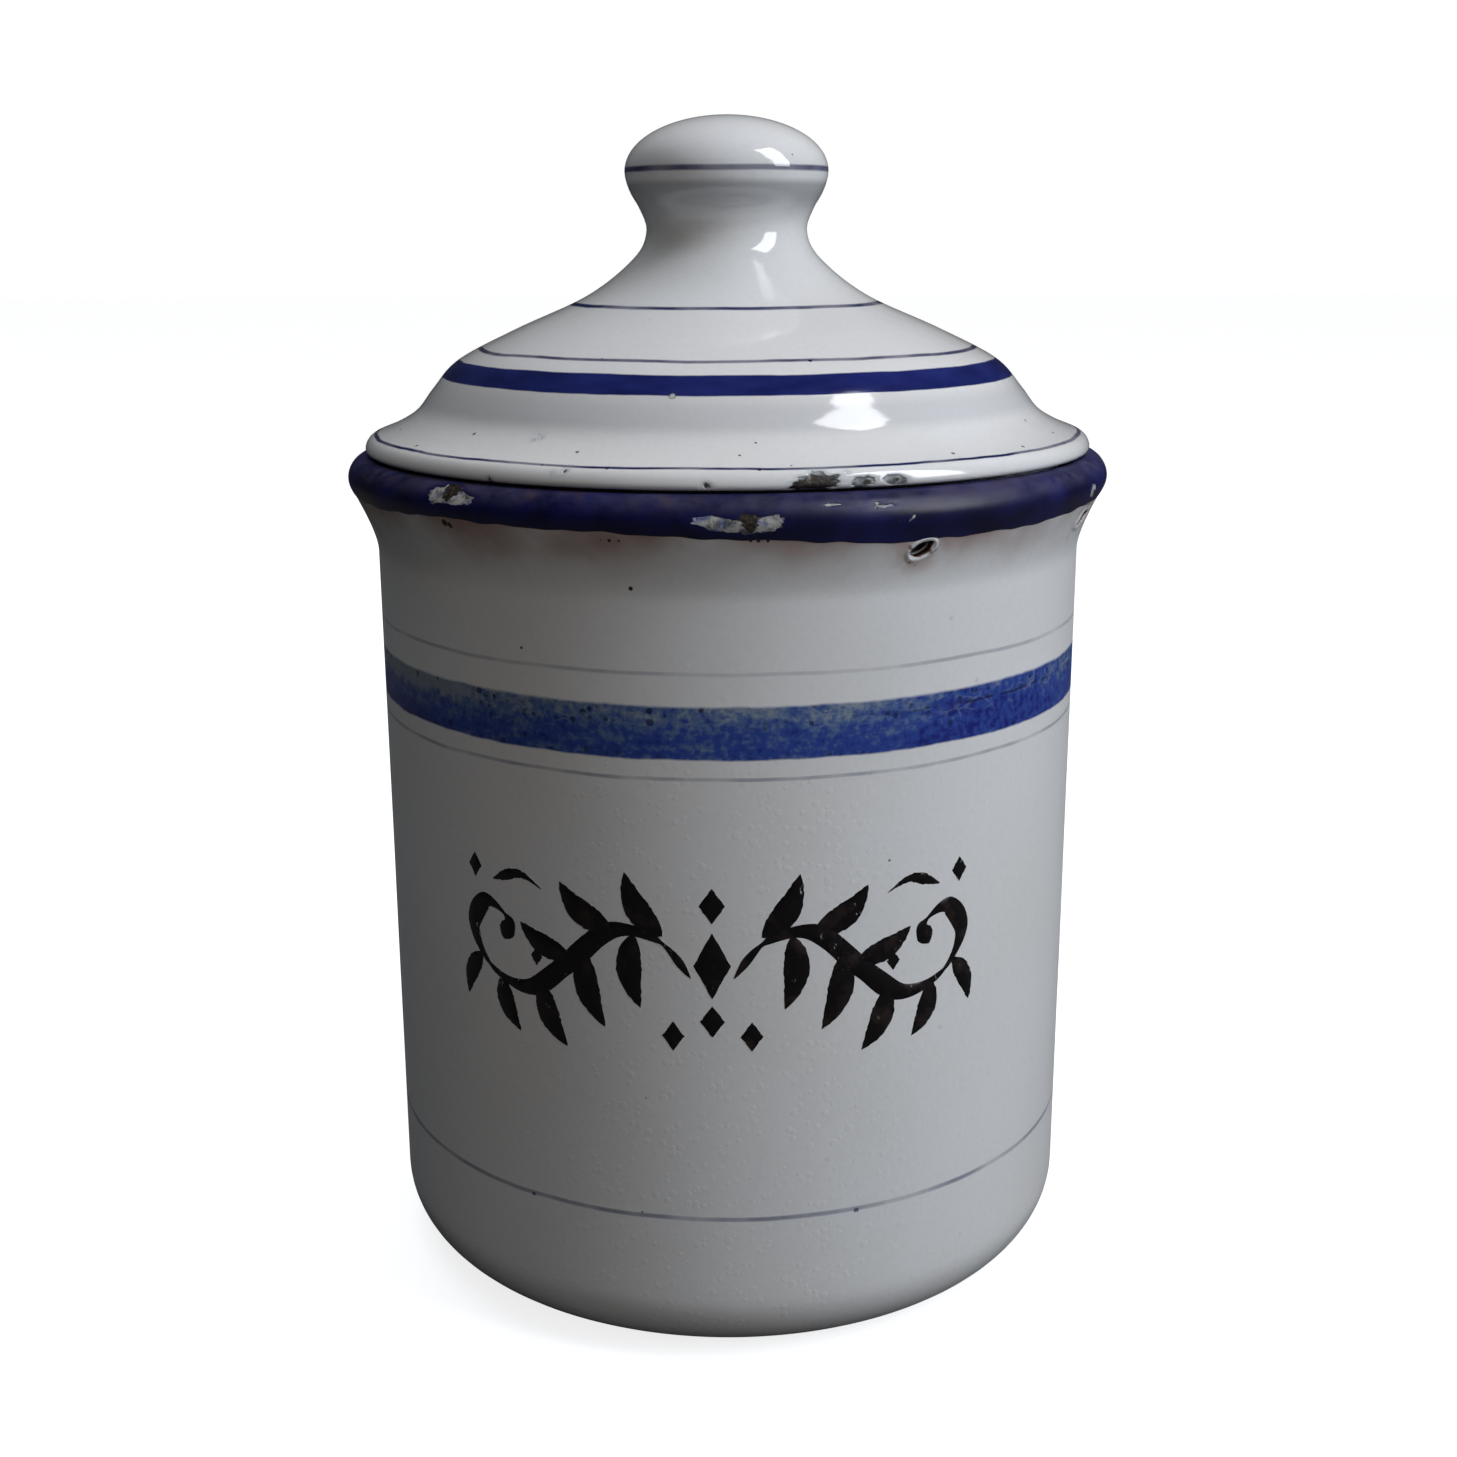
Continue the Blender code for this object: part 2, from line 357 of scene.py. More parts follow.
def lathe(name, profile, angles, material, lift=0.0, fields=None, ring=False):
    """A solid of revolution. Its profile runs with the outside on its right, axis to axis or as a ring."""
    line = Outline(np.vstack([profile, profile[:1]]) if ring else profile)
    s, a = np.meshgrid(line.run, angles, indexing="ij")
    rows, cols = s.shape
    points = surface(line, s, a, lift).reshape(-1, 3)
    quads = grid_faces(rows, cols)
    if ring:
        quads = np.where(quads >= (rows - 1) * cols, quads - (rows - 1) * cols, quads)
    else:
        quads = merge_axis(points, quads, rows, cols, 0)
    fields = {key: value.ravel() for key, value in (fields or {}).items()}
    return make_mesh(name, points, quads, fields, material)


# ---------------------------------------------------------------- hand work: dents, vents and chips

def ripple(angles, seed, waves, reach):
    """Smooth uneven line round the axis: a few sines of random size and phase."""
    random = np.random.default_rng(seed)
    turn = np.radians(angles)
    total = np.zeros_like(turn)
    for wave in waves:
        total += random.uniform(0.4, 1.0) * np.sin(wave * turn + random.uniform(0, 2 * math.pi))
    return total * reach / max(1.0, len(waves) ** 0.5)


def wall_lift(s, a, jar):
    """How far the beaten wall stands out of true, strongest half way up."""
    _, z = jar.at(s)
    share = np.clip(np.sin(math.pi * np.clip((z - 12.0) / 84.0, 0, 1)), 0, 1)
    return share * (ripple(a, 3, (2, 3, 5), 0.05) + 0.5 * ripple(a + 1.1 * z, 5, (7, 11), 0.03))


def beside(a, angle, radius):
    """Signed distance round the axis from an angle, in millimetres."""
    return np.radians((a - angle + 180.0) % 360.0 - 180.0) * radius


def turned_by(u, v, slant):
    """Coordinates along and across a slanted direction."""
    turn = math.radians(slant)
    return u * math.cos(turn) + v * math.sin(turn), v * math.cos(turn) - u * math.sin(turn)


def vent_rows(centre, offsets):
    """Distances up the outline on both sides of the vents' middle."""
    return [centre - o for o in offsets[:0:-1]] + [centre + o for o in offsets]


def vent_columns(step, offsets, radius):
    """Angles right round, with the vents' own offsets on both sides of each."""
    spread = np.degrees(np.array(offsets) / radius)
    return columns(step, VENT_ANGLES, np.r_[-spread[:0:-1], spread])


def open_vents(s, a, centre, radius, extra):
    """Draws a square grid round each vent into the vent's oval; says how far each point is from the hole."""
    s, a = s.copy(), a.copy()
    away = np.full(s.shape, 99.0)
    around = np.zeros(s.shape)
    for number, angle in enumerate(VENT_ANGLES):
        u, v = beside(a, angle, radius), s - centre
        square = np.maximum(np.abs(u), np.abs(v))
        near = square <= VENT_PATCH + 1e-6
        theta = np.arctan2(v, u)
        flat = theta - math.radians(VENT_SLANT)
        notch = 1.0 + 0.07 * np.sin(3 * flat + number) + 0.04 * np.sin(5 * flat + 2.3 * number)
        long, short = (VENT_LONG + extra) * notch, (VENT_SHORT + extra) * notch
        oval_u, oval_v = turned_by(long * np.cos(flat), short * np.sin(flat), -VENT_SLANT)
        t = np.clip((square - VENT_SQUARE) / (VENT_PATCH - VENT_SQUARE), 0, 1)
        size = square / VENT_SQUARE
        new_u = (1 - t) * oval_u * size + t * u
        new_v = (1 - t) * oval_v * size + t * v
        a = np.where(near, angle + np.degrees(new_u / radius), a)
        s = np.where(near, centre + new_v, s)
        u, v = np.where(near, new_u, u), np.where(near, new_v, v)
        along, across = turned_by(u, v, VENT_SLANT)
        reach = np.sqrt((along / VENT_LONG) ** 2 + (across / VENT_SHORT) ** 2)
        away = np.minimum(away, (reach - 1.0) * np.hypot(u, v) / np.maximum(reach, 0.1))
        around = np.where(near, flat, around)
    return s, a, away, around


def vent_faces(s, a, centre, radius):
    """Which quads of a square grid stay, outside the squares that become vents."""
    mid_s = 0.5 * (s[:-1] + s[1:])
    next_a = np.roll(a, -1, axis=1)
    gap = (next_a - a) % 360.0
    mid_a = (a + 0.5 * gap)[:-1]
    kept = np.ones(mid_s.shape, bool)
    for angle in VENT_ANGLES:
        inside = np.abs(beside(mid_a, angle, radius)) < VENT_SQUARE
        kept &= ~(inside & (np.abs(mid_s - centre) < VENT_SQUARE))
    return kept


class Chip:
    """A flake of lost glass: where it is, its half size along and across the rim, and its slant."""

    def __init__(self, angle, place, wide, high, slant=0.0):
        self.angle, self.place, self.slant = angle, place, slant
        self.wide, self.high = wide, high


def chip_field(chips, a, v, radius, seed, unit=1.0):
    """Distance inside the nearest chip's ragged outline, in millimetres; below zero outside them all."""
    random = np.random.default_rng(seed)
    field = np.full(a.shape, UNUSED)
    for chip in chips:
        along, across = turned_by(beside(a, chip.angle, radius), v - chip.place * unit, chip.slant)
        theta = np.arctan2(across / chip.high, along / chip.wide)
        ragged = 1.0 + sum(random.uniform(-0.11, 0.11) * np.sin(k * theta + random.uniform(0, 6.3))
                           for k in (2, 3, 5, 7, 11))
        reach = np.sqrt((along / chip.wide) ** 2 + (across / chip.high) ** 2)
        field = np.maximum(field, (ragged - reach) * min(chip.wide, chip.high))
    return field


def eased(t):
    """0 below 0, 1 above 1, and a smooth rise between them."""
    t = np.clip(t, 0, 1)
    return t * t * (3 - 2 * t)


CHIP_SHORE = 0.25                 # width over which a chip falls to its floor
RIM_CHIP_DEPTH = 0.16
EDGE_CHIP_DEPTH = 0.15


def sunk(field, depth):
    """How far a chip's floor lies below the coat's face."""
    return -depth * eased(field / CHIP_SHORE + 0.5)


# flakes on the rolled rim: place is the angle on the rim's section, 0 outermost and 90 on top
RIM_CHIPS = [
    Chip(-42.7, 31, 1.5, 1.15, 8), Chip(-37.9, 29, 1.7, 0.9, -10), Chip(-40.4, 19, 2.4, 0.45),
    Chip(-40.4, 46, 1.7, 1.3), Chip(-1.4, -3, 2.8, 0.75, -8), Chip(5.2, -3, 1.8, 0.85, 8),
    Chip(2.6, -4, 1.4, 1.25), Chip(64.5, -10, 1.1, 0.85), Chip(13.6, 38, 1.15, 0.17, 3),
    Chip(20.3, 27, 1.7, 0.2, 6), Chip(19.6, 36, 0.5, 0.2), Chip(24.2, -6, 0.75, 0.1, 50),
    Chip(23.4, -12, 0.5, 0.09, -10), Chip(131, 20, 2.6, 0.7, 5), Chip(174, 48, 1.3, 0.5),
    Chip(-128, 12, 3.4, 0.8, -6), Chip(-88, 60, 0.9, 0.4), Chip(222, -8, 0.9, 0.5),
]
RIM_BARE = [
    Chip(-40.4, 48, 1.45, 1.35), Chip(2.6, 12, 1.5, 0.5), Chip(2.8, -4, 0.95, 0.8), Chip(2.9, -20, 0.45, 0.7),
    Chip(65.2, -14, 0.35, 0.35), Chip(131.6, 22, 1.2, 0.45), Chip(-127, 15, 1.6, 0.5),
]
# flakes on the lid's turned-down edge: place is the height
EDGE_CHIPS = [
    Chip(11.7, 112.45, 2.8, 1.2, 4), Chip(18.4, 112.4, 1.45, 0.7, 4), Chip(23.2, 112.45, 1.6, 0.65, -3),
    Chip(-2.8, 112.35, 0.42, 0.42), Chip(-34.9, 112.0, 0.3, 0.3), Chip(-22.7, 113.6, 0.34, 0.22, 35),
    Chip(-24.4, 113.3, 0.1, 0.14), Chip(16.4, 113.5, 0.16, 0.16), Chip(96, 112.3, 1.8, 0.6),
    Chip(163, 112.2, 2.2, 0.6), Chip(-142, 112.2, 1.2, 0.5), Chip(-96, 112.1, 0.6, 0.3),
]
EDGE_BARE = [
    Chip(11.4, 112.3, 2.8, 1.15, 6), Chip(18.9, 112.4, 0.6, 0.35), Chip(23.4, 112.5, 0.5, 0.3),
    Chip(163.5, 112.0, 1.4, 0.4), Chip(-34.9, 112.0, 0.22, 0.22), Chip(-22.7, 113.6, 0.26, 0.15, 35),
    Chip(-2.8, 112.35, 0.26, 0.26),
]


# ---------------------------------------------------------------- surface maths

def tint(red, green, blue):
    """A colour given as a screen shows it, in the renderer's linear numbers."""
    def linear(value):
        value /= 255.0
        return value / 12.92 if value <= 0.04045 else ((value + 0.055) / 1.055) ** 2.4
    return (linear(red), linear(green), linear(blue), 1.0)


class Field:
    """A number that changes over a surface. Arithmetic on it adds Math nodes."""

    def __init__(self, finish, socket):
        self.finish, self.socket = finish, socket

    def math(self, operation, *values):
        inputs = {number: value for number, value in enumerate(values)}
        return self.finish.add("ShaderNodeMath", {"operation": operation}, inputs)

    def __add__(self, other):
        return self.math("ADD", self, other)

    def __sub__(self, other):
        return self.math("SUBTRACT", self, other)

    def __rsub__(self, other):
        return self.math("SUBTRACT", other, self)

    def __mul__(self, other):
        return self.math("MULTIPLY", self, other)

    def __truediv__(self, other):
        return self.math("DIVIDE", self, other)

    __radd__ = __add__
    __rmul__ = __mul__

    def size(self):
        return self.math("ABSOLUTE", self)

    def most(self, other):
        return self.math("MAXIMUM", self, other)

    def rise(self, low, high):
        """0 below low, 1 above high, and a smooth rise between them."""
        return self.finish.add("ShaderNodeMapRange", {"interpolation_type": "SMOOTHSTEP"},
                               {"Value": self, "From Min": low, "From Max": high})

    def fall(self, low, high):
        return 1.0 - self.rise(low, high)


class Finish:
    """A node material on one Principled BSDF, with the piece's own coordinates in millimetres."""

    def __init__(self, name, **constants):
        self.material = bpy.data.materials.new(name)
        self.material.use_nodes = True
        self.tree = self.material.node_tree
        self.shader = self.tree.nodes["Principled BSDF"]
        for key, value in constants.items():
            self.shader.inputs[key.replace("_", " ")].default_value = value
        metres = self.add("ShaderNodeTexCoord", {}, {}, "Object")
        scale = {"Vector": metres, "Scale": 1.0 / MM}
        self.place = self.add("ShaderNodeVectorMath", {"operation": "SCALE"}, scale)
        parts = self.tree.nodes.new("ShaderNodeSeparateXYZ")
        self.tree.links.new(self.place.socket, parts.inputs[0])
        self.x, self.y, self.z = (Field(self, parts.outputs[k]) for k in range(3))
        self.colour = None

    def add(self, kind, settings=None, inputs=None, output=0):
        """Any node: its settings first, then the values or links of its sockets."""
        node = self.tree.nodes.new(kind)
        for key, value in (settings or {}).items():
            setattr(node, key, value)
        for key, value in (inputs or {}).items():
            self.plug(self.find(node.inputs, key), value)
        return Field(self, self.find(node.outputs, output))

    @staticmethod
    def find(sockets, key):
        if isinstance(key, int):
            return sockets[key]
        for socket in sockets:
            if socket.identifier == key:
                return socket
        return sockets[key]

    def plug(self, socket, value):
        if isinstance(value, Field):
            self.tree.links.new(value.socket, socket)
        else:
            socket.default_value = value

    def blend(self, mask, first, second):
        """The first colour where the mask is 0 and the second where it is 1."""
        return self.add("ShaderNodeMix", {"data_type": "RGBA"},
                        {"Factor_Float": mask, "A_Color": first, "B_Color": second}, "Result_Color")

    def paint(self, mask, colour):
        """Lays a colour over the surface's own where the mask is 1."""
        self.colour = self.blend(mask, self.colour, colour)

    def stretched(self, stretch, seed):
        """The coordinates scaled along each axis and shifted, so that patterns differ."""
        shift = (17.3 * seed, 31.7 * seed, 11.9 * seed)
        return self.add("ShaderNodeVectorMath", {"operation": "MULTIPLY_ADD"},
                        {0: self.place, 1: stretch, 2: shift})

    def noise(self, size, detail=3.0, seed=0, stretch=(1.0, 1.0, 1.0), rough=0.5, twist=0.0):
        """Cloudy noise about 0.5, with features of a size in millimetres."""
        return self.add("ShaderNodeTexNoise", {}, {
            "Vector": self.stretched(stretch, seed), "Scale": 1.0 / size, "Detail": detail,
            "Roughness": rough, "Distortion": twist}, "Fac")

    def specks(self, spacing, share, largest, seed=0, soft=0.05):
        """Small round marks: about one per cell for a share of the cells, up to a radius in millimetres."""
        cells = {"Vector": self.stretched((1.0, 1.0, 1.0), seed), "Scale": 1.0 / spacing}
        away = self.add("ShaderNodeTexVoronoi", {}, cells, "Distance") * spacing
        dice = self.add("ShaderNodeTexVoronoi", {}, cells, "Color")
        parts = self.add("ShaderNodeSeparateColor", {}, {0: dice})
        radius = (parts - (1.0 - share)) * (largest / share)
        return (radius - away).rise(0.0, soft)

    def veins(self, spacing, width, seed=0, stretch=(1.0, 1.0, 1.0)):
        """Thin lines between cells."""
        gap = self.add("ShaderNodeTexVoronoi", {"feature": "DISTANCE_TO_EDGE"},
                       {"Vector": self.stretched(stretch, seed), "Scale": 1.0 / spacing}, "Distance")
        return (gap * spacing).fall(0.0, width)

    def attribute(self, name):
        return self.add("ShaderNodeAttribute", {"attribute_name": name}, {}, "Fac")

    def near(self, angle, radius, height, reach, wobble=0.0, seed=0):
        """1 at a point given by angle, radius and height, falling to 0 at a reach from it."""
        turn = math.radians(angle)
        point = (radius * math.sin(turn), -radius * math.cos(turn), height)
        away = self.add("ShaderNodeVectorMath", {"operation": "DISTANCE"}, {0: self.place, 1: point}, "Value")
        if wobble:
            away = away + (self.noise(reach * 0.8, seed=seed) - 0.5) * wobble
        return away.fall(0.0, reach)

    def done(self, rough, height):
        """The material, from its colour, a roughness and a relief given as a height in millimetres."""
        relief = self.add("ShaderNodeBump", {}, {"Distance": MM, "Strength": 1.0, "Height": height}, "Normal")
        for name, value in (("Base Color", self.colour), ("Roughness", rough), ("Normal", relief)):
            self.plug(self.shader.inputs[name], value)
        return self.material


# ---------------------------------------------------------------- finishes

WHITE_COOL = tint(222, 226, 230)
WHITE_WARM = tint(219, 221, 222)
SPECK = tint(46, 42, 44)
FRECKLE = tint(168, 170, 174)
RUST = tint(112, 66, 44)
DARK_RUST = tint(48, 30, 24)
RUST_HAZE = tint(158, 130, 122)
LINE_GREY = tint(96, 104, 128)
LINE_NAVY = tint(30, 38, 88)
COBALT_THIN = tint(124, 138, 156)
COBALT_MILKY = tint(78, 102, 148)
COBALT = tint(40, 66, 146)
COBALT_DEEP = tint(20, 32, 116)
COBALT_INK = tint(10, 14, 56)
NAVY_BAND = tint(22, 30, 88)
GROUND = tint(178, 179, 178)
GROUND_BLUE = tint(70, 104, 186)


def white_glass(f, freckles=0.5):
    """Paints the white coat and gives its relief: faint clouds, grey freckles, dark pinholes, orange peel."""
    cloud = f.noise(26.0, detail=2.0, seed=1).rise(0.2, 0.8)
    f.colour = f.blend(cloud, WHITE_COOL, WHITE_WARM)
    grain = f.noise(0.7, detail=3.0, seed=8, rough=0.65).rise(0.35, 0.75)
    f.paint(grain * 0.16, tint(196, 198, 200))
    soft_freckles = f.specks(3.6, 0.3, 0.55, seed=2, soft=0.5) * freckles
    f.paint(soft_freckles, FRECKLE)
    pinholes = f.specks(5.5, 0.16, 0.34, seed=3).most(f.specks(3.1, 0.06, 0.16, seed=4))
    f.paint(pinholes * 0.85, SPECK)
    peel = f.noise(3.2, detail=2.0, seed=5) * 0.022 + f.noise(0.9, detail=1.0, seed=6) * 0.002
    return peel - pinholes * 0.03


def line_mask(f, height, half, waver, seed, faint=0.0):
    """A brushed line at a height: wavering, uneven in strength, with small beads of pigment."""
    centre = height + (f.noise(14.0, detail=3.0, seed=seed) - 0.5) * waver
    away = (f.z - centre).size()
    strength = f.noise(9.0, detail=3.0, seed=seed + 0.5).rise(0.28, 0.62) * (1.0 - faint) + faint
    line = away.fall(half * 0.35, half) * strength
    beads = f.specks(2.4, 0.4, half * 1.1, seed=seed + 0.7) * away.fall(half * 0.9, half * 1.6)
    return line, beads


def watercolour_band(f):
    """The broad cobalt band of the wall: thin and green-grey above, deep and mottled below."""
    low, high = BAND
    edge = (f.noise(4.0, detail=4.0, seed=11) - 0.5) * 0.5
    inside = (f.z - edge).rise(low - 0.2, low + 0.15) * (f.z + edge).fall(high - 0.3, high + 0.2)
    up = (f.z - low) / (high - low) + (f.noise(7.0, detail=2.0, seed=10) - 0.5) * 0.12
    drag = f.noise(2.4, detail=5.0, seed=12, stretch=(0.35, 0.35, 1.7), rough=0.62) - 0.5
    mottle = f.noise(0.9, detail=3.0, seed=13, rough=0.6) - 0.5
    left = f.x.fall(-42.0, -22.0)
    right = f.x.rise(14.0, 30.0) * f.y.fall(-36.0, -4.0)
    thin_top = up.rise(0.5, 0.86) * (0.55 + left * 0.35 - right * 0.3)
    deep_low = up.fall(0.05, 0.5) * (0.08 + left * 0.3)
    depth = 0.55 + drag * 1.3 + mottle * 1.7 - thin_top * (0.62 + left * 0.5) + right * 0.32 + deep_low
    paint = f.blend(depth.rise(-0.1, 0.32), COBALT_THIN, COBALT_MILKY)
    paint = f.blend(depth.rise(0.3, 0.68), paint, COBALT)
    paint = f.blend(depth.rise(0.72, 1.15), paint, COBALT_DEEP)
    veins = f.veins(1.5, 0.16, seed=15, stretch=(0.5, 0.5, 1.0))
    veins = veins * f.noise(3.0, detail=3.0, seed=16).rise(0.46, 0.62)
    paint = f.blend(veins * up.rise(0.3, 0.8) * 0.35, paint, tint(150, 162, 170))
    rows = (up - 0.9).size().fall(0.05, 0.16).most((up - 0.68).size().fall(0.04, 0.13) * 0.85)
    rows = rows.most(up.fall(0.05, 0.16) * 0.6)
    dots = f.specks(1.0, 0.6, 0.6, seed=17, soft=0.16) * f.noise(3.6, seed=9).rise(0.3, 0.5) * rows
    dots = dots.most(f.specks(1.5, 0.45, 0.6, seed=19, soft=0.3) * 0.75)
    seam = (up - 0.71).size().fall(0.015, 0.04) * f.noise(2.2, detail=3.0, seed=18).rise(0.46, 0.54)
    dark = dots.most(seam * right * 0.9)
    paint = f.blend(dark * 0.85, paint, COBALT_INK)
    f.paint(inside, paint)
    return inside, dark


def body_white():
    """The wall's white coat with its lines and band, rust-stained under the rim and round the vents."""
    f = Finish("wall_white_glass", Specular_IOR_Level=0.5)
    relief = white_glass(f)
    relief = relief * 0.6 + f.noise(30.0, detail=1.0, seed=7) * 0.25

    haze_depth = f.z + (f.noise(9.0, detail=3.0, seed=21) - 0.5) * 7.0
    haze = haze_depth.rise(100.0, 107.5) * f.noise(14.0, detail=3.0, seed=22).rise(0.3, 0.66)
    f.paint(haze * 0.95, RUST_HAZE)
    halo = f.attribute("vent").fall(0.1, 3.4)
    stain = halo * f.noise(3.0, detail=4.0, seed=23).rise(0.38, 0.62)
    f.paint(stain * 0.62, RUST_HAZE)
    lip = f.attribute("vent").fall(0.5, 0.8)
    f.paint(lip * 0.8, WHITE_COOL)
    crust = f.attribute("vent").fall(0.9, 1.5) * f.noise(1.1, detail=4.0, seed=24).rise(0.56, 0.66)
    f.paint(crust * 0.75, RUST)
    bore = f.attribute("vent").fall(-0.5, -0.02)
    f.paint(bore * 0.85, RUST)
    weeping = f.near(VENT_ANGLES[1], 49.2, 104.4, 2.0, 1.5, 25) * f.attribute("vent").fall(0.3, 0.9)
    f.paint(weeping * 0.8, RUST)

    for height, half, strength, seed in ((UPPER_LINE, 0.33, 0.45, 31), (LOWER_LINE, 0.32, 0.58, 33)):
        line, beads = line_mask(f, height, half, 0.5, seed, faint=0.35)
        f.paint(line * strength, LINE_GREY)
        f.paint(beads * 0.9, SPECK)
    line, beads = line_mask(f, FOOT_LINE, 0.42, 0.45, 35, faint=0.4)
    f.paint(line * 0.7, tint(66, 80, 118))
    f.paint(beads * 0.8, LINE_NAVY)

    band, dark = watercolour_band(f)
    relief = relief + band * 0.012 + dark * 0.02

    rust_pits = f.near(-41.6, 50.3, 106.75, 0.75, 0.5, 41).most(f.near(-40.7, 50.2, 106.5, 0.6, 0.4, 42))
    for angle, reach in ((3.9, 0.4), (5.1, 0.3), (2.9, 0.3), (-15.5, 0.35), (-14.2, 0.28), (-16.6, 0.22)):
        rust_pits = rust_pits.most(f.near(angle, 50.15, 106.5 - 0.02 * abs(angle), reach, 0.25, 43))
    for angle, height in ((-9.5, 101.5), (-13.5, 100.4), (24.0, 66.5), (-31.0, 92.3), (14.0, 101.5)):
        rust_pits = rust_pits.most(f.near(angle, 47.7, height, 0.42, 0.1, 44))
    f.paint(rust_pits.rise(0.1, 0.5), DARK_RUST)

    worn_foot = f.z.fall(0.15, 0.9) * f.noise(2.4, detail=4.0, seed=45).rise(0.5, 0.6)
    f.paint(worn_foot * 0.8, DARK_RUST)
    under = f.z.fall(0.02, 0.06) * f.noise(11.0, detail=4.0, seed=46).rise(0.42, 0.7)
    f.paint(under * 0.35, RUST_HAZE)

    smudge = f.noise(24.0, detail=1.0, seed=47).rise(0.2, 0.8)
    rough = 0.3 + smudge * 0.06 + band * 0.04 + rust_pits * 0.3 + haze * 0.06
    return f.done(rough, relief - rust_pits * 0.06)


def lid_white():
    """The lid's glossier white coat with its navy band and lines, painted shade in its hollow and under the
    knob; chipped along the turned-down edge.
    """
    f = Finish("lid_white_glass", Specular_IOR_Level=0.8)
    relief = white_glass(f, 0.3)
    relief = relief + f.noise(16.0, detail=1.0, seed=7) * 0.12

    for height, half, waver, strength, seed in (
            (LID_LINES[0], 0.15, 0.4, 1.0, 51), (LID_LINES[1], 0.22, 0.5, 0.95, 53),
            (LID_LINES[2], 0.26, 0.4, 1.0, 55), (SEAM_LINE, 0.52, 0.35, 0.95, 57)):
        line, beads = line_mask(f, height, half, waver, seed, faint=0.7)
        f.paint(line * strength, LINE_NAVY)
        f.paint(beads * 0.7, NAVY_BAND)

    # Painted shade: a grey laid into the hollow of the ogee, where it turns away from the light.
    hollow_shade = f.z.rise(116.8, 118.4) * f.z.fall(119.6, 121.6)
    f.paint(hollow_shade * 0.35, tint(168, 172, 180))
    # Painted shade: a darker grey under the knob's overhang, where its shade falls.
    under_knob_shade = f.z.rise(140.6, 144.6) * f.z.fall(145.5, 146.6)
    f.paint(under_knob_shade * 0.55, tint(112, 116, 124))
    flecks = f.specks(1.9, 0.5, 0.3, seed=58) * f.z.rise(113.2, 114.0) * f.z.fall(116.4, 117.4)
    f.paint(flecks * 0.85, SPECK)

    low, high = LID_BAND
    edge = (f.noise(7.0, detail=3.0, seed=61) - 0.5) * 0.28
    band = (f.z - edge).rise(low - 0.08, low + 0.08) * (f.z + edge).fall(high - 0.08, high + 0.08)
    streaks = f.noise(5.0, detail=4.0, seed=62, stretch=(0.7, 0.7, 2.5)).rise(0.3, 0.72)
    paint = f.blend(streaks, NAVY_BAND, tint(34, 44, 112))
    paint = f.blend(f.specks(4.0, 0.12, 0.2, seed=63), paint, tint(150, 158, 186))
    f.paint(band, paint)

    smear = f.near(-32.0, 42.3, 116.5, 1.5, 1.3, 64)
    smear = smear * f.noise(0.8, seed=65, stretch=(1, 1, 0.5)).rise(0.4, 0.6)
    f.paint(smear * 0.55, tint(112, 124, 160))
    drop = f.near(17.2, 33.3, 125.1, 0.5, 0.2, 66).rise(0.2, 0.5)
    f.paint(drop, LINE_NAVY)
    blister = f.near(-9.6, 38.3, 121.5, 0.62, 0.1, 67)
    f.paint(blister.rise(0.05, 0.2) * 0.6, tint(84, 84, 70))
    f.paint(blister.rise(0.3, 0.6), tint(186, 196, 194))

    chip = f.attribute("chip") + (f.noise(1.0, detail=3.0, seed=71) - 0.5) * 0.4
    bare = f.attribute("bare") + (f.noise(1.1, detail=3.0, seed=72) - 0.5) * 0.6
    lost = chip.rise(-0.06, 0.1)
    steel = bare.rise(-0.1, 0.15) * lost
    pitted = f.noise(0.45, detail=4.0, seed=73, rough=0.7)
    f.paint(chip.rise(-0.55, 0.0) * 0.35, tint(148, 160, 168))
    patchy = f.noise(0.9, detail=3.0, seed=77).rise(0.36, 0.62)
    ground = f.blend(patchy, tint(92, 97, 102), tint(158, 164, 170))
    iron = f.blend(pitted.rise(0.46, 0.66), tint(16, 13, 11), tint(60, 47, 37))
    pale = f.near(11.0, 48.5, 113.15, 0.75, 0.9, 74).rise(0.2, 0.6)
    iron = f.blend(pale, iron, tint(136, 124, 112))
    f.paint(lost, ground)
    f.paint(steel, iron)

    under_edge = f.attribute("under") * f.noise(4.0, detail=4.0, seed=75).rise(0.42, 0.62)
    f.paint(under_edge * 0.85, DARK_RUST)

    smudge = f.noise(16.0, detail=1.0, seed=76).rise(0.2, 0.8)
    rough = 0.045 + smudge * 0.04 + band * 0.05 + lost * 0.35 + steel * 0.2
    return f.done(rough, relief + band * 0.01 - lost * 0.12 - (0.5 - pitted) * lost * 0.1)


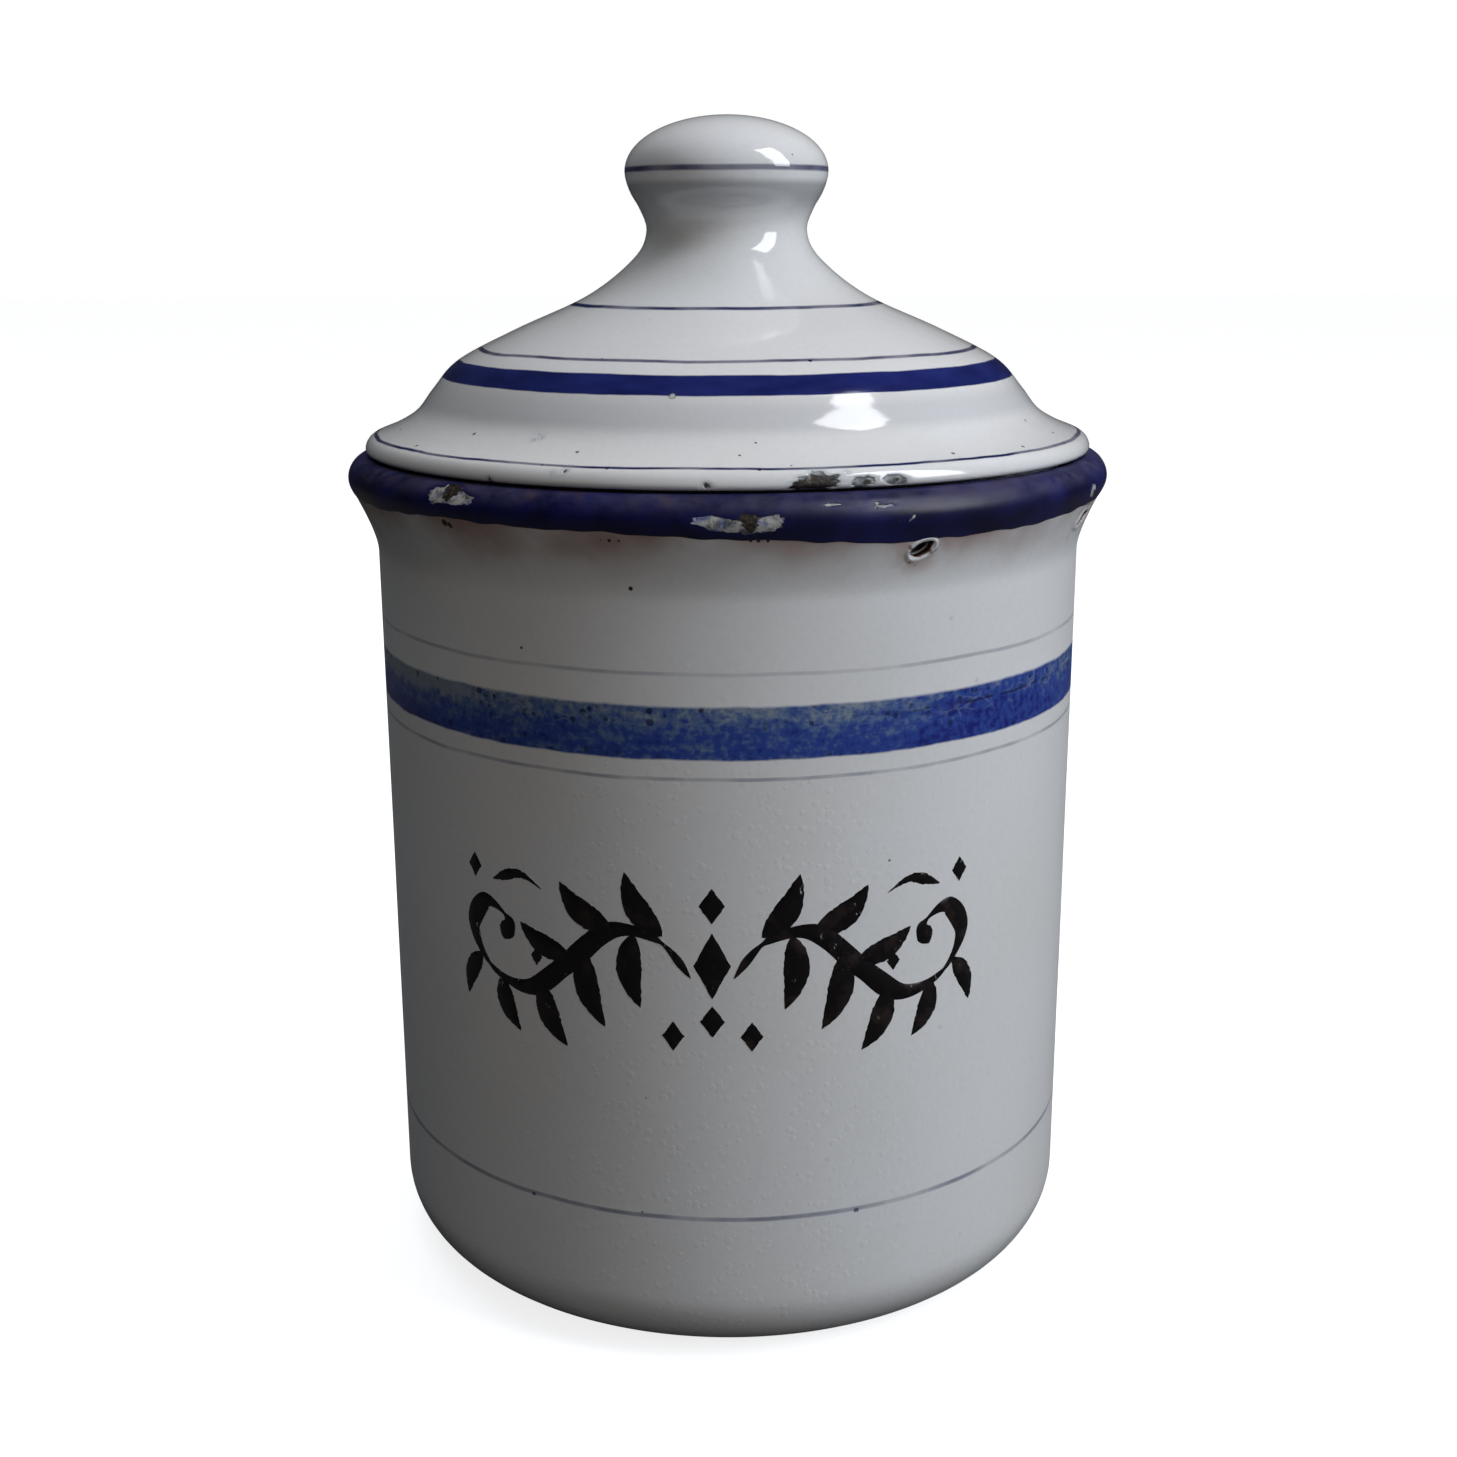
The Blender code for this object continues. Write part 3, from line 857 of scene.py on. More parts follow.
def rim_cobalt():
    """The rim's cobalt coat: deep below, scuffed dull on its crown with a painted sheen laid there, flaked to
    ground coat and steel.
    """
    f = Finish("rim_cobalt_glass", Specular_IOR_Level=0.5)
    cloud = f.noise(7.0, detail=4.0, seed=81).rise(0.32, 0.7)
    f.colour = f.blend(cloud, tint(10, 10, 48), tint(20, 24, 84))
    crown = f.attribute("crown")
    # Wear and painted sheen: the crown is scuffed rough, and a lighter violet-grey is laid on it as a painted
    # sheen.
    crown_scuff_sheen = crown.rise(0.05, 0.75) * f.noise(5.0, detail=5.0, seed=82, rough=0.65).rise(0.3, 0.66)
    f.paint(crown_scuff_sheen * 0.55, tint(66, 65, 98))
    # Painted sheen: a brown laid on the top of the bead.
    brown = crown.rise(0.3, 0.9) * f.noise(3.4, detail=4.0, seed=83).rise(0.52, 0.7)
    f.paint(brown * 0.5, tint(72, 56, 58))
    sky = f.specks(1.9, 0.22, 0.24, seed=84, soft=0.1) * f.noise(6.0, seed=85).rise(0.48, 0.62)
    f.paint(sky * 0.7, tint(92, 112, 178))
    skirt = f.attribute("skirt").fall(0.0, 0.3)
    f.paint(skirt * 0.6, tint(22, 16, 30))

    chip = f.attribute("chip") + (f.noise(1.2, detail=3.0, seed=86) - 0.5) * 0.55
    bare = f.attribute("bare") + (f.noise(1.2, detail=3.0, seed=87) - 0.5) * 0.6
    shore = chip.rise(-0.9, 0.0) * f.noise(1.6, seed=88).rise(0.3, 0.55)
    f.paint(shore * 0.7, tint(14, 20, 78))
    lost = chip.rise(-0.03, 0.05)
    steel = bare.rise(-0.06, 0.1) * lost
    pitted = f.noise(0.4, detail=4.0, seed=89, rough=0.7)
    patchy = f.noise(1.1, detail=4.0, seed=79, rough=0.6).rise(0.34, 0.6)
    ground = f.blend(patchy, tint(76, 78, 88), GROUND)
    ground = f.blend(f.noise(1.6, detail=2.0, seed=90).rise(0.52, 0.66) * 0.45, ground, GROUND_BLUE)
    ground = f.blend(f.specks(0.55, 0.35, 0.14, seed=80), ground, SPECK)
    iron = f.blend(pitted.rise(0.44, 0.66), tint(30, 28, 25), tint(72, 64, 52))
    f.paint(lost, ground)
    f.paint(steel, iron)

    peel = f.noise(2.4, detail=3.0, seed=91) * 0.05 + f.noise(0.6, detail=2.0, seed=92) * 0.006
    scratches = f.noise(0.5, detail=2.0, seed=93, stretch=(0.3, 0.3, 1.6)) * crown_scuff_sheen * 0.02
    rough = 0.36 + crown_scuff_sheen * 0.2 + cloud * 0.08 + lost * 0.25 + steel * 0.15
    return f.done(rough, peel + scratches - lost * 0.12 - (0.5 - pitted) * lost * 0.15)


def lining_white():
    """The white coat inside: a little yellowed, stained by what was kept in it."""
    f = Finish("lining_white_glass", Specular_IOR_Level=0.5)
    relief = white_glass(f, 0.5)
    stain = f.noise(18.0, detail=5.0, seed=101, twist=0.6).rise(0.45, 0.75)
    f.paint(stain * 0.35, tint(196, 182, 158))
    floor = f.z.fall(2.0, 14.0) * f.noise(6.0, detail=4.0, seed=102).rise(0.4, 0.7)
    f.paint(floor * 0.4, tint(170, 146, 118))
    return f.done(0.3 + stain * 0.15, relief)


def collar_white():
    """The lid's collar: thin white glass, worn to rust along its lower edge."""
    f = Finish("collar_white_glass", Specular_IOR_Level=0.5)
    relief = white_glass(f, 0.6)
    height = f.z - COLLAR_BOTTOM
    scuffs = f.noise(2.0, detail=4.0, seed=111, stretch=(0.5, 0.5, 2.0)).rise(0.5, 0.68)
    f.paint(scuffs * 0.4, tint(150, 148, 146))
    worn = (height - (f.noise(3.0, detail=5.0, seed=112, rough=0.65) - 0.38) * 4.0).fall(0.0, 0.35)
    f.paint(worn, DARK_RUST)
    orange = worn * f.noise(1.2, detail=4.0, seed=113).rise(0.45, 0.65)
    f.paint(orange * 0.8, RUST)
    haze = (height - f.noise(5.0, detail=3.0, seed=114) * 6.0).fall(-1.5, 2.0)
    f.paint(haze * 0.35 * (1.0 - worn), RUST_HAZE)
    return f.done(0.3 + scuffs * 0.12 + worn * 0.35, relief - worn * 0.05)


def dark_steel():
    """Bare drawn sheet, browned by handling and damp."""
    f = Finish("dark_drawn_steel", Specular_IOR_Level=0.5)
    mottle = f.noise(2.2, detail=5.0, seed=121, rough=0.65)
    f.colour = f.blend(mottle.rise(0.35, 0.6), tint(52, 44, 40), tint(92, 78, 70))
    rust = f.noise(3.0, detail=5.0, seed=122, rough=0.7).rise(0.5, 0.64)
    f.paint(rust * 0.8, RUST)
    f.plug(f.shader.inputs["Metallic"], 0.75 - rust * 0.7)
    return f.done(0.42 + rust * 0.4, f.noise(0.5, detail=3.0, seed=123) * 0.02 + rust * 0.03)


def drawn_wire():
    """Galvanised wire with fine marks along it."""
    f = Finish("drawn_steel_wire", Metallic=1.0)
    marks = f.noise(0.8, detail=3.0, seed=131, stretch=(0.4, 0.4, 3.0))
    f.colour = f.blend(marks.rise(0.4, 0.6), tint(150, 148, 146), tint(112, 108, 104))
    return f.done(0.3 + marks * 0.2, marks * 0.01)


def fired_black():
    """The ornament's black: thick and glossy, brown where it is thin, scratched through here and there."""
    f = Finish("fired_black_paint", Specular_IOR_Level=0.45)
    thin = f.noise(2.6, detail=4.0, seed=141).rise(0.5, 0.72)
    f.colour = f.blend(thin * 0.7, tint(15, 13, 15), tint(44, 33, 32))
    scratch = f.noise(1.3, detail=4.0, seed=142, stretch=(1.0, 1.0, 0.6), rough=0.7).rise(0.66, 0.7)
    flecks = f.specks(1.5, 0.1, 0.2, seed=143, soft=0.08)
    f.paint(scratch.most(flecks) * 0.8, tint(176, 176, 178))
    return f.done(0.24 + thin * 0.2, f.noise(1.2, detail=3.0, seed=144) * 0.012)


# ---------------------------------------------------------------- pieces of the jar

def spaced(start, end, step):
    """Evenly spaced values from start towards end, which is left out."""
    count = max(1, math.ceil((end - start) / step))
    return list(np.linspace(start, end, count, endpoint=False))


def jar_rows(jar, end, coarse, offsets):
    """Distances up the jar's outline: close where it bends, and matched to the vents."""
    corner, wall = WALL_R - CORNER_R, jar.where(CORNER_R)
    vent, flare = jar.where(VENT_Z), jar.where(FLARE_Z - 0.5)
    rows = spaced(0.0, corner, 3.0 * coarse) + spaced(corner, wall, 0.9 * coarse)
    rows += spaced(wall, flare, 2.6 * coarse) + spaced(flare, vent - VENT_PATCH, 0.6 * coarse)
    rows += vent_rows(vent, offsets)[:-1] + spaced(vent + VENT_PATCH, end, 0.35 * coarse) + [end]
    return np.array(rows)


def vented_grid(jar, rows, step, offsets, extra):
    """Distances and angles of a grid up the jar with its vents drawn in, and which of its quads stay."""
    vent = jar.where(VENT_Z)
    radius = float(jar.at(vent)[0])
    s, a = np.meshgrid(rows, vent_columns(step, offsets, radius), indexing="ij")
    kept = vent_faces(s, a, vent, radius)
    return *open_vents(s, a, vent, radius, extra), kept


def jar_layer(name, jar, end, outer, inner, coarse, material, extra):
    """One layer of the jar with its vents, between two depths below the outside."""
    fine = coarse <= 1.0
    offsets = FINE_OFFSETS if fine else OFFSETS
    rows = jar_rows(jar, end, coarse, offsets)
    s, a, away, around, kept = vented_grid(jar, rows, 1.2 if fine else 2.4, offsets, extra)
    true = wall_lift(s, a, jar)
    lift = true - outer
    if fine:
        thick = 0.75 + 0.25 * np.cos(2 * around + 0.8)
        lift = lift + 0.25 * thick * np.exp(-((away - 0.34) / 0.26) ** 2) - 0.05 * np.exp(-(away / 0.15) ** 2)
    face, back = surface(jar, s, a, lift), surface(jar, s, a, true - inner)
    return sheet(name, face, back, {"vent": away}, material, kept)


def rim_lap(a):
    """How far the cobalt laps down over the white coat, by angle: lowest at the front right."""
    right = np.exp(-((beside(a, 34.0, 57.3)) / 26.0) ** 2)
    left = np.exp(-((beside(a, -34.0, 57.3)) / 30.0) ** 2)
    brushed = ripple(a, 8, (5, 9, 14), 0.2) + ripple(a, 9, (31, 47, 70), 0.12)
    return 0.85 + 1.25 * right - 0.85 * left + brushed


def cobalt_rim(jar, whole, material):
    """The cobalt coat: from its lapped lower edge, round the rolled rim to the free edge inside."""
    joint = jar.length
    laid = 0.95                                 # where the white coat below ends, past the joint
    step = 0.6                                  # a short stretch of close rows after that
    angles = columns(0.5)
    lap = rim_lap(angles)[None, :]
    rows = np.r_[np.linspace(0, 1, 11)[:-1], np.linspace(1, 2, 9)[:-1], np.linspace(2, 3, 44)]
    low = joint - lap
    mid = joint + laid
    end = whole.length
    share = rows[:, None]
    s = np.where(share < 1, low + (mid - low) * share,
                 np.where(share < 2, mid + step * (share - 1), mid + step + (end - mid - step) * (share - 2)))
    a = np.broadcast_to(angles[None, :], s.shape)
    r, z = whole.at(s)
    section = np.degrees(np.arctan2(z - BEAD_Z, r - BEAD_R))
    v = np.radians(section) * BEAD_TUBE
    degree = math.radians(BEAD_TUBE)            # length round the section for each degree
    chip, bare = (chip_field(chips, a, v, RIM_OUT, seed, degree)
                  for chips, seed in ((RIM_CHIPS, 21), (RIM_BARE, 22)))
    on_bead = eased((s - mid) / 2.2)
    edge = np.clip((s - low) / 0.35, 0, 1)
    proud = (0.02 + 0.05 * np.sqrt(edge)) * (1 - on_bead)
    true = wall_lift(s, a, jar) * (s < joint)
    uneven = (ripple(angles, 12, (3, 5, 8, 13), 0.03)[None, :] - 0.02) * on_bead
    lift = true + proud + uneven + sunk(chip, RIM_CHIP_DEPTH) * on_bead
    floor = true + 0.008 * (1 - on_bead) - COAT * on_bead
    fields = {"chip": chip, "bare": bare, "crown": np.sin(np.radians(section)), "skirt": s - low}
    return sheet("rim_cobalt_coat", surface(whole, s, a, lift), surface(whole, s, a, floor), fields, material)


def wire_ring(material):
    """The wire that the rim is rolled over."""
    section = arc((BEAD_R, BEAD_Z), WIRE_R, 0, 360, 16)[:-1]
    return lathe("rim_core_wire", section, columns(2.5), material, ring=True)


def jar_steel(jar, whole, material):
    """The drawn cup: base, wall with vents, flare and rolled rim, in one sheet."""
    rolled = np.linspace(jar.length, whole.length, 34)
    rows = np.r_[jar_rows(jar, jar.length, 1.8, OFFSETS)[:-1], rolled]
    s, a, _, _, kept = vented_grid(jar, rows, 2.0, OFFSETS, 0.12)
    true = wall_lift(s, a, jar) * (s < jar.length)
    return sheet("jar_drawn_steel", surface(whole, s, a, true - STEEL_FACE),
                 surface(whole, s, a, true - STEEL_BACK), {}, material, kept)


# ---------------------------------------------------------------- pieces of the lid

def lid_coat(line, material):
    """The lid's outer coat: under its own face, round the steel's edge and a little way up inside it."""
    middle = arc((EDGE_R, EDGE_Z), EDGE_TUBE - 0.6, EDGE_END, EDGE_END, 1)[0]
    under = thinned(line.moved(COAT), 2.4)[::-1]
    steel_end = arc(middle, 0.35, EDGE_END, EDGE_END - 180.0, 6)
    back_up = arc((EDGE_R, EDGE_Z), EDGE_TUBE - LINING_FACE, EDGE_END, WRAP_END, 4)
    back_down = arc((EDGE_R, EDGE_Z), EDGE_TUBE - LINING_BACK, WRAP_END, EDGE_END, 4)
    wrap = arc(middle, 0.6, EDGE_END - 180.0, EDGE_END, 12)
    hidden = np.vstack([under, steel_end[1:], back_up[1:], back_down, wrap[1:]])
    edge_length = math.radians(EDGE_TOP - EDGE_END) * EDGE_TUBE
    seam = line.where(SEAM_Z)
    stops = spaced(0.0, edge_length + 1.2, 0.2)[1:] + spaced(edge_length + 1.2, seam - 22.0, 0.9)
    stops += spaced(seam - 22.0, seam - 1.2, 0.7) + spaced(seam - 1.2, seam + 1.2, 0.3)
    stops += spaced(seam + 1.2, line.length, 0.8) + [line.length]
    r, z = line.at(np.array(stops))
    r[-1] = 0.0
    profile = np.vstack([hidden, np.c_[r, z]])
    angles = columns(0.6)
    height, a = np.meshgrid(profile[:, 1], angles, indexing="ij")
    row = np.arange(len(profile))[:, None] + 0 * a
    shown = row >= len(hidden) - 8
    on_edge = shown & (profile[:, :1] > EDGE_R)
    chip, bare = (np.where(on_edge, chip_field(chips, a, height, EDGE_OUT, seed), UNUSED)
                  for chips, seed in ((EDGE_CHIPS, 31), (EDGE_BARE, 32)))
    bubble = np.hypot(beside(a, -9.6, 38.2), (height - 121.45) * 1.25)
    swollen = 0.16 * np.exp(-(bubble / 0.4) ** 2) + 0.03 * np.exp(-((height - SEAM_Z) / 0.45) ** 2)
    lift = sunk(chip, EDGE_CHIP_DEPTH) + np.where(shown, swollen, 0.0)
    under_edge = np.where((row >= len(under)) & ~shown, 1.0, 0.0)
    return lathe("lid_white_coat", profile, angles, material, lift,
                 {"chip": chip, "bare": bare, "under": under_edge})


def pressed(name, line, start, end, face_depth, back_depth, step, turn, material):
    """A ring of the lid between two depths below its outside, along a stretch of its line."""
    face = thinned(line.moved(face_depth, start, end), step)
    back = thinned(line.moved(back_depth, start, end), step)
    return lathe(name, np.vstack([back[::-1], face]), columns(turn), material, ring=True)


def lid_steel(line, material):
    """The pressing: from its turned-down edge up the drawn neck to the seam."""
    end = line.where(SEAM_Z - 0.15)
    return pressed("lid_pressed_steel", line, 0.0, end, STEEL_FACE, STEEL_BACK, 1.2, 2.5, material)


def knob_cap(line, material):
    """The domed cap of the knob, with the lip that steps down into the neck."""
    seam = SEAM_Z + 0.15
    face = line.moved(STEEL_FACE, line.where(SEAM_Z + 0.2))
    back = line.moved(STEEL_BACK, line.where(seam + 0.75))
    sheet_gauge = STEEL_BACK - STEEL_FACE
    lip = [(face[0][0], seam), (LIP_R, seam), (LIP_R, seam - 1.8), (LIP_R - sheet_gauge, seam - 1.8),
           (LIP_R - sheet_gauge, seam + sheet_gauge)]
    profile = np.vstack([thinned(back, 1.0)[::-1], lip[::-1], thinned(face, 1.0)])
    return lathe("knob_steel_cap", profile, columns(4.0), material)


def lid_lining(line, material):
    """The coat under the lid, from inside the edge up into the neck."""
    start = math.radians(WRAP_END + 4.0 - EDGE_END) * EDGE_TUBE
    end = line.where(NECK_TOP)
    return pressed("lid_lining", line, start, end, LINING_FACE, LINING_BACK, 1.1, 2.0, material)


def lid_collar(material):
    """The collar that drops into the mouth: a ring with a rounded lower edge and a flange along the lid."""
    round_r = COLLAR_SHEET / 2
    centre = (COLLAR_R - KNEE_R, COLLAR_BEND - 0.9)
    knee = arc(centre, KNEE_R, 0, KNEE_TURN, 6)
    inner_knee = arc(centre, KNEE_R - COLLAR_SHEET, KNEE_TURN, 0, 6)
    hem = arc((COLLAR_R - round_r, COLLAR_BOTTOM + round_r), round_r, -180, 0, 8)
    wall = [(COLLAR_R, z) for z in np.linspace(COLLAR_BOTTOM + round_r + 0.8, COLLAR_BEND - KNEE_R, 12)]
    wall_in = [(COLLAR_R - COLLAR_SHEET, z) for _, z in wall[::-1]]
    slope = math.radians(KNEE_TURN + 90)
    reach = (knee[-1][0] - FLANGE_R) / -math.cos(slope)
    flange = [(knee[-1][0] + reach * math.cos(slope) * t, knee[-1][1] + reach * math.sin(slope) * t)
              for t in (0.5, 1.0)]
    end_r, end_z = flange[-1]
    inner_end = (end_r - COLLAR_SHEET * math.sin(slope), end_z + COLLAR_SHEET * math.cos(slope))
    profile = hem + wall + knee + flange + [inner_end] + inner_knee + wall_in
    return lathe("lid_collar", profile, columns(1.5), material, ring=True)


# ---------------------------------------------------------------- the ornament

PEN = 2.1                         # width of the broad pen
PEN_ANGLE = 38.0                  # the pen's edge against the level


def pen_stroke(points, width, taper):
    """Half widths along a smooth curve drawn with a broad pen, thinner where it runs along the pen's edge."""
    curve = np.array(flowing([points[0]] + points + [points[-1]], 14))
    way = headings(curve)
    heading = np.arctan2(way[:, 1], way[:, 0])
    half = 0.5 * width * (0.16 + 0.84 * np.abs(np.sin(heading - math.radians(PEN_ANGLE))))
    t = np.linspace(0, 1, len(curve))
    return curve, half * np.clip(np.minimum(t, 1 - t) / taper, 0.04, 1) ** 0.8


def leaf(base, tip, width, belly):
    """A lens-shaped leaf from base to tip, its middle line bowed sideways."""
    base, tip = np.array(base, float), np.array(tip, float)
    side = np.array([-(tip - base)[1], (tip - base)[0]])
    side /= np.hypot(*side)
    t = np.linspace(0, 1, 22)
    curve = base + (tip - base) * t[:, None] + side * (belly * np.sin(math.pi * t))[:, None]
    half = 0.5 * width * np.sin(math.pi * t ** 0.8) ** 0.85 + 0.02
    return curve, half


def lozenge(u, v, wide, high):
    """A diamond set by one press of the pen."""
    t = np.linspace(-1, 1, 13)
    curve = np.c_[np.full_like(t, u), v + high * t]
    return curve, wide * (1 - np.abs(t)) + 0.03


def ornament_strokes():
    """A level scroll with leaves, mirrored about its middle, as (curve, half widths) in millimetres."""
    half = [
        pen_stroke([(2.6, -1.0), (6.5, 3.6), (12.5, 4.4), (18.5, -0.8), (24.0, -4.8), (30.2, -3.4),
                    (33.2, 1.4), (30.8, 5.2), (27.2, 3.6), (27.9, 0.8)], PEN * 1.3, 0.05),
        leaf((6.0, 4.2), (10.6, 12.0), 3.3, -1.0), leaf((12.4, 4.8), (19.2, 9.8), 3.4, -1.1),
        leaf((18.0, 0.4), (25.2, 3.6), 3.0, -0.8), leaf((9.6, 4.2), (8.8, -5.2), 3.3, 1.0),
        leaf((16.0, 1.4), (13.4, -8.2), 3.4, 1.0), leaf((22.0, -3.8), (18.6, -11.6), 3.2, 0.9),
        leaf((28.4, -4.2), (25.6, -11.0), 2.9, 0.8), leaf((31.8, -2.0), (34.8, -8.2), 2.6, 0.7),
        pen_stroke([(21.8, 8.4), (25.2, 9.8), (29.4, 8.4)], PEN * 0.8, 0.3),
        lozenge(4.8, -8.6, 1.4, 1.9), lozenge(22.8, -0.5, 0.9, 1.2), lozenge(32.6, 9.6, 1.2, 1.6),
    ]
    middle = [lozenge(0.0, 0.6, 2.3, 4.2), lozenge(0.0, 8.2, 1.6, 2.2), lozenge(0.0, -6.6, 1.5, 2.0)]
    mirrored = [(curve * np.array([-1.0, 1.0]), widths) for curve, widths in half]
    return middle + half + mirrored


def ribbon(curve, half, lift, random):
    """One stroke as a low closed pad of fired paint: five points across, capped at both ends."""
    way = headings(curve)
    side = np.c_[-way[:, 1], way[:, 0]]
    t = np.linspace(0, 1, len(curve))
    wobble = sum(0.035 * np.sin(2 * math.pi * (k * t + random.uniform())) for k in (3, 7, 12))
    half = np.maximum(half + wobble * np.minimum(1.0, half / 0.4), 0.02)
    across = (-1.0, -0.94, 0.0, 0.94, 1.0)
    heights = (-0.03, 0.6 * lift, lift, 0.6 * lift, -0.03)
    rows = [np.c_[curve + side * (half * x)[:, None], np.full(len(curve), h)]
            for x, h in zip(across, heights)]
    return np.stack(rows, axis=1)


def front_ornament(jar, material):
    """The fired black ornament, laid round the wall."""
    random = np.random.default_rng(64)
    points, faces = [], []
    for number, (curve, half) in enumerate(ornament_strokes()):
        pad = ribbon(curve, half, 0.035 + 0.0025 * (number % 5), random)
        rows, across = pad.shape[:2]
        first = sum(len(p) for p in points)
        points.append(pad.reshape(-1, 3))
        for i in range(rows - 1):
            here = first + i * across
            for k in range(across):
                n = (k + 1) % across
                faces.append([here + k, here + across + k, here + across + n, here + n])
        last = first + (rows - 1) * across
        faces.append([first + k for k in range(across)])
        faces.append([last + k for k in reversed(range(across))])
    flat = np.concatenate(points)
    turn = np.radians(ORNAMENT_ANGLE) + flat[:, 0] / WALL_R
    height = ORNAMENT_Z + flat[:, 1]
    s = jar.where(CORNER_R) + (height - CORNER_R)
    radius = WALL_R + flat[:, 2] + wall_lift(s, np.degrees(turn), jar)
    wrapped = np.c_[radius * np.sin(turn), -radius * np.cos(turn), height]
    return add_piece("front_ornament", wrapped, faces, {}, material, 50.0)


# ---------------------------------------------------------------- putting it together

def place(piece, body, slot, *nodes):
    """A finished piece: the body it rides on, its slot in the record, which is not used, and the CAD nodes it
    stands for.
    """
    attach(piece, body)
    if nodes:
        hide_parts(*nodes)


def build_jar():
    """Every piece of the jar; gives the steel, which the lid shares."""
    jar = jar_outline()
    whole = rim_outline(jar)
    steel = dark_steel()
    place(jar_layer("jar_white_coat", whole, jar.length + 0.9, 0.0, COAT, 1.0, body_white(), 0.0),
          "jar", "white_enamel", "jar_outer_enamel")
    place(jar_steel(jar, whole, steel), "jar", "drawn_steel", "jar_shell")
    lining = jar_layer("jar_lining", jar, jar.where(LINING_TOP), LINING_FACE, LINING_BACK, 2.0,
                       lining_white(), 0.12)
    place(lining, "jar", "white_enamel", "jar_inner_enamel")
    place(cobalt_rim(jar, whole, rim_cobalt()), "jar", "cobalt_enamel", "rim_enamel")
    place(wire_ring(drawn_wire()), "jar", "steel_wire", "rim_wire")
    place(front_ornament(jar, fired_black()), "jar", "")
    return steel


def build_lid(steel):
    """Every piece of the lid."""
    line = lid_outline()
    place(lid_coat(line, lid_white()), "lid", "white_enamel", "lid_outer_enamel")
    place(lid_steel(line, steel), "lid", "drawn_steel", "lid_shell")
    place(knob_cap(line, steel), "lid", "drawn_steel", "knob_cap")
    place(lid_lining(line, lining_white()), "lid", "white_enamel", "lid_inner_enamel")
    place(lid_collar(collar_white()), "lid", "enamelled_collar", "lid_skirt")


def seen_apart(tree, shown, thrown, surface_socket):
    """Gives the camera one shader and everything else another."""
    path = tree.nodes.new("ShaderNodeLightPath")
    choose = tree.nodes.new("ShaderNodeMixShader")
    tree.links.new(path.outputs["Is Camera Ray"], choose.inputs[0])
    tree.links.new(thrown.outputs[0], choose.inputs[1])
    tree.links.new(shown.outputs[0], choose.inputs[2])
    tree.links.new(choose.outputs[0], surface_socket)


def build_stage():
    """A wide pale floor, brighter to the eye than the light it throws back."""
    bpy.ops.mesh.primitive_plane_add(size=8.0, location=(0, 0, -0.0002))
    floor = bpy.context.object
    floor.name = "floor"
    material = bpy.data.materials.new("pale_floor")
    material.use_nodes = True
    tree = material.node_tree
    dim = tree.nodes["Principled BSDF"]
    dim.inputs["Base Color"].default_value = (0.065, 0.065, 0.065, 1.0)
    dim.inputs["Roughness"].default_value = 0.9
    dim.inputs["Specular IOR Level"].default_value = 0.0
    matt = tree.nodes.new("ShaderNodeBsdfDiffuse")
    matt.inputs["Color"].default_value = (0.5, 0.55, 0.6, 1.0)
    glow = tree.nodes.new("ShaderNodeEmission")
    glow.inputs["Strength"].default_value = 0.8
    bright = tree.nodes.new("ShaderNodeAddShader")
    tree.links.new(matt.outputs[0], bright.inputs[0])
    tree.links.new(glow.outputs[0], bright.inputs[1])
    seen_apart(tree, bright, dim, tree.nodes["Material Output"].inputs["Surface"])
    floor.data.materials.append(material)


def build_world():
    """White where the camera looks, and a dim even fill for the object."""
    world = bpy.data.worlds.new("studio")
    bpy.context.scene.world = world
    world.use_nodes = True
    tree = world.node_tree
    fill = tree.nodes["Background"]
    fill.inputs["Color"].default_value = (0.92, 0.96, 1.0, 1.0)
    fill.inputs["Strength"].default_value = 0.02
    white = tree.nodes.new("ShaderNodeBackground")
    white.inputs["Color"].default_value = (1.0, 1.0, 1.0, 1.0)
    seen_apart(tree, white, fill, tree.nodes["World Output"].inputs["Surface"])


MIDDLE = 0.09                     # height that every light faces, in metres


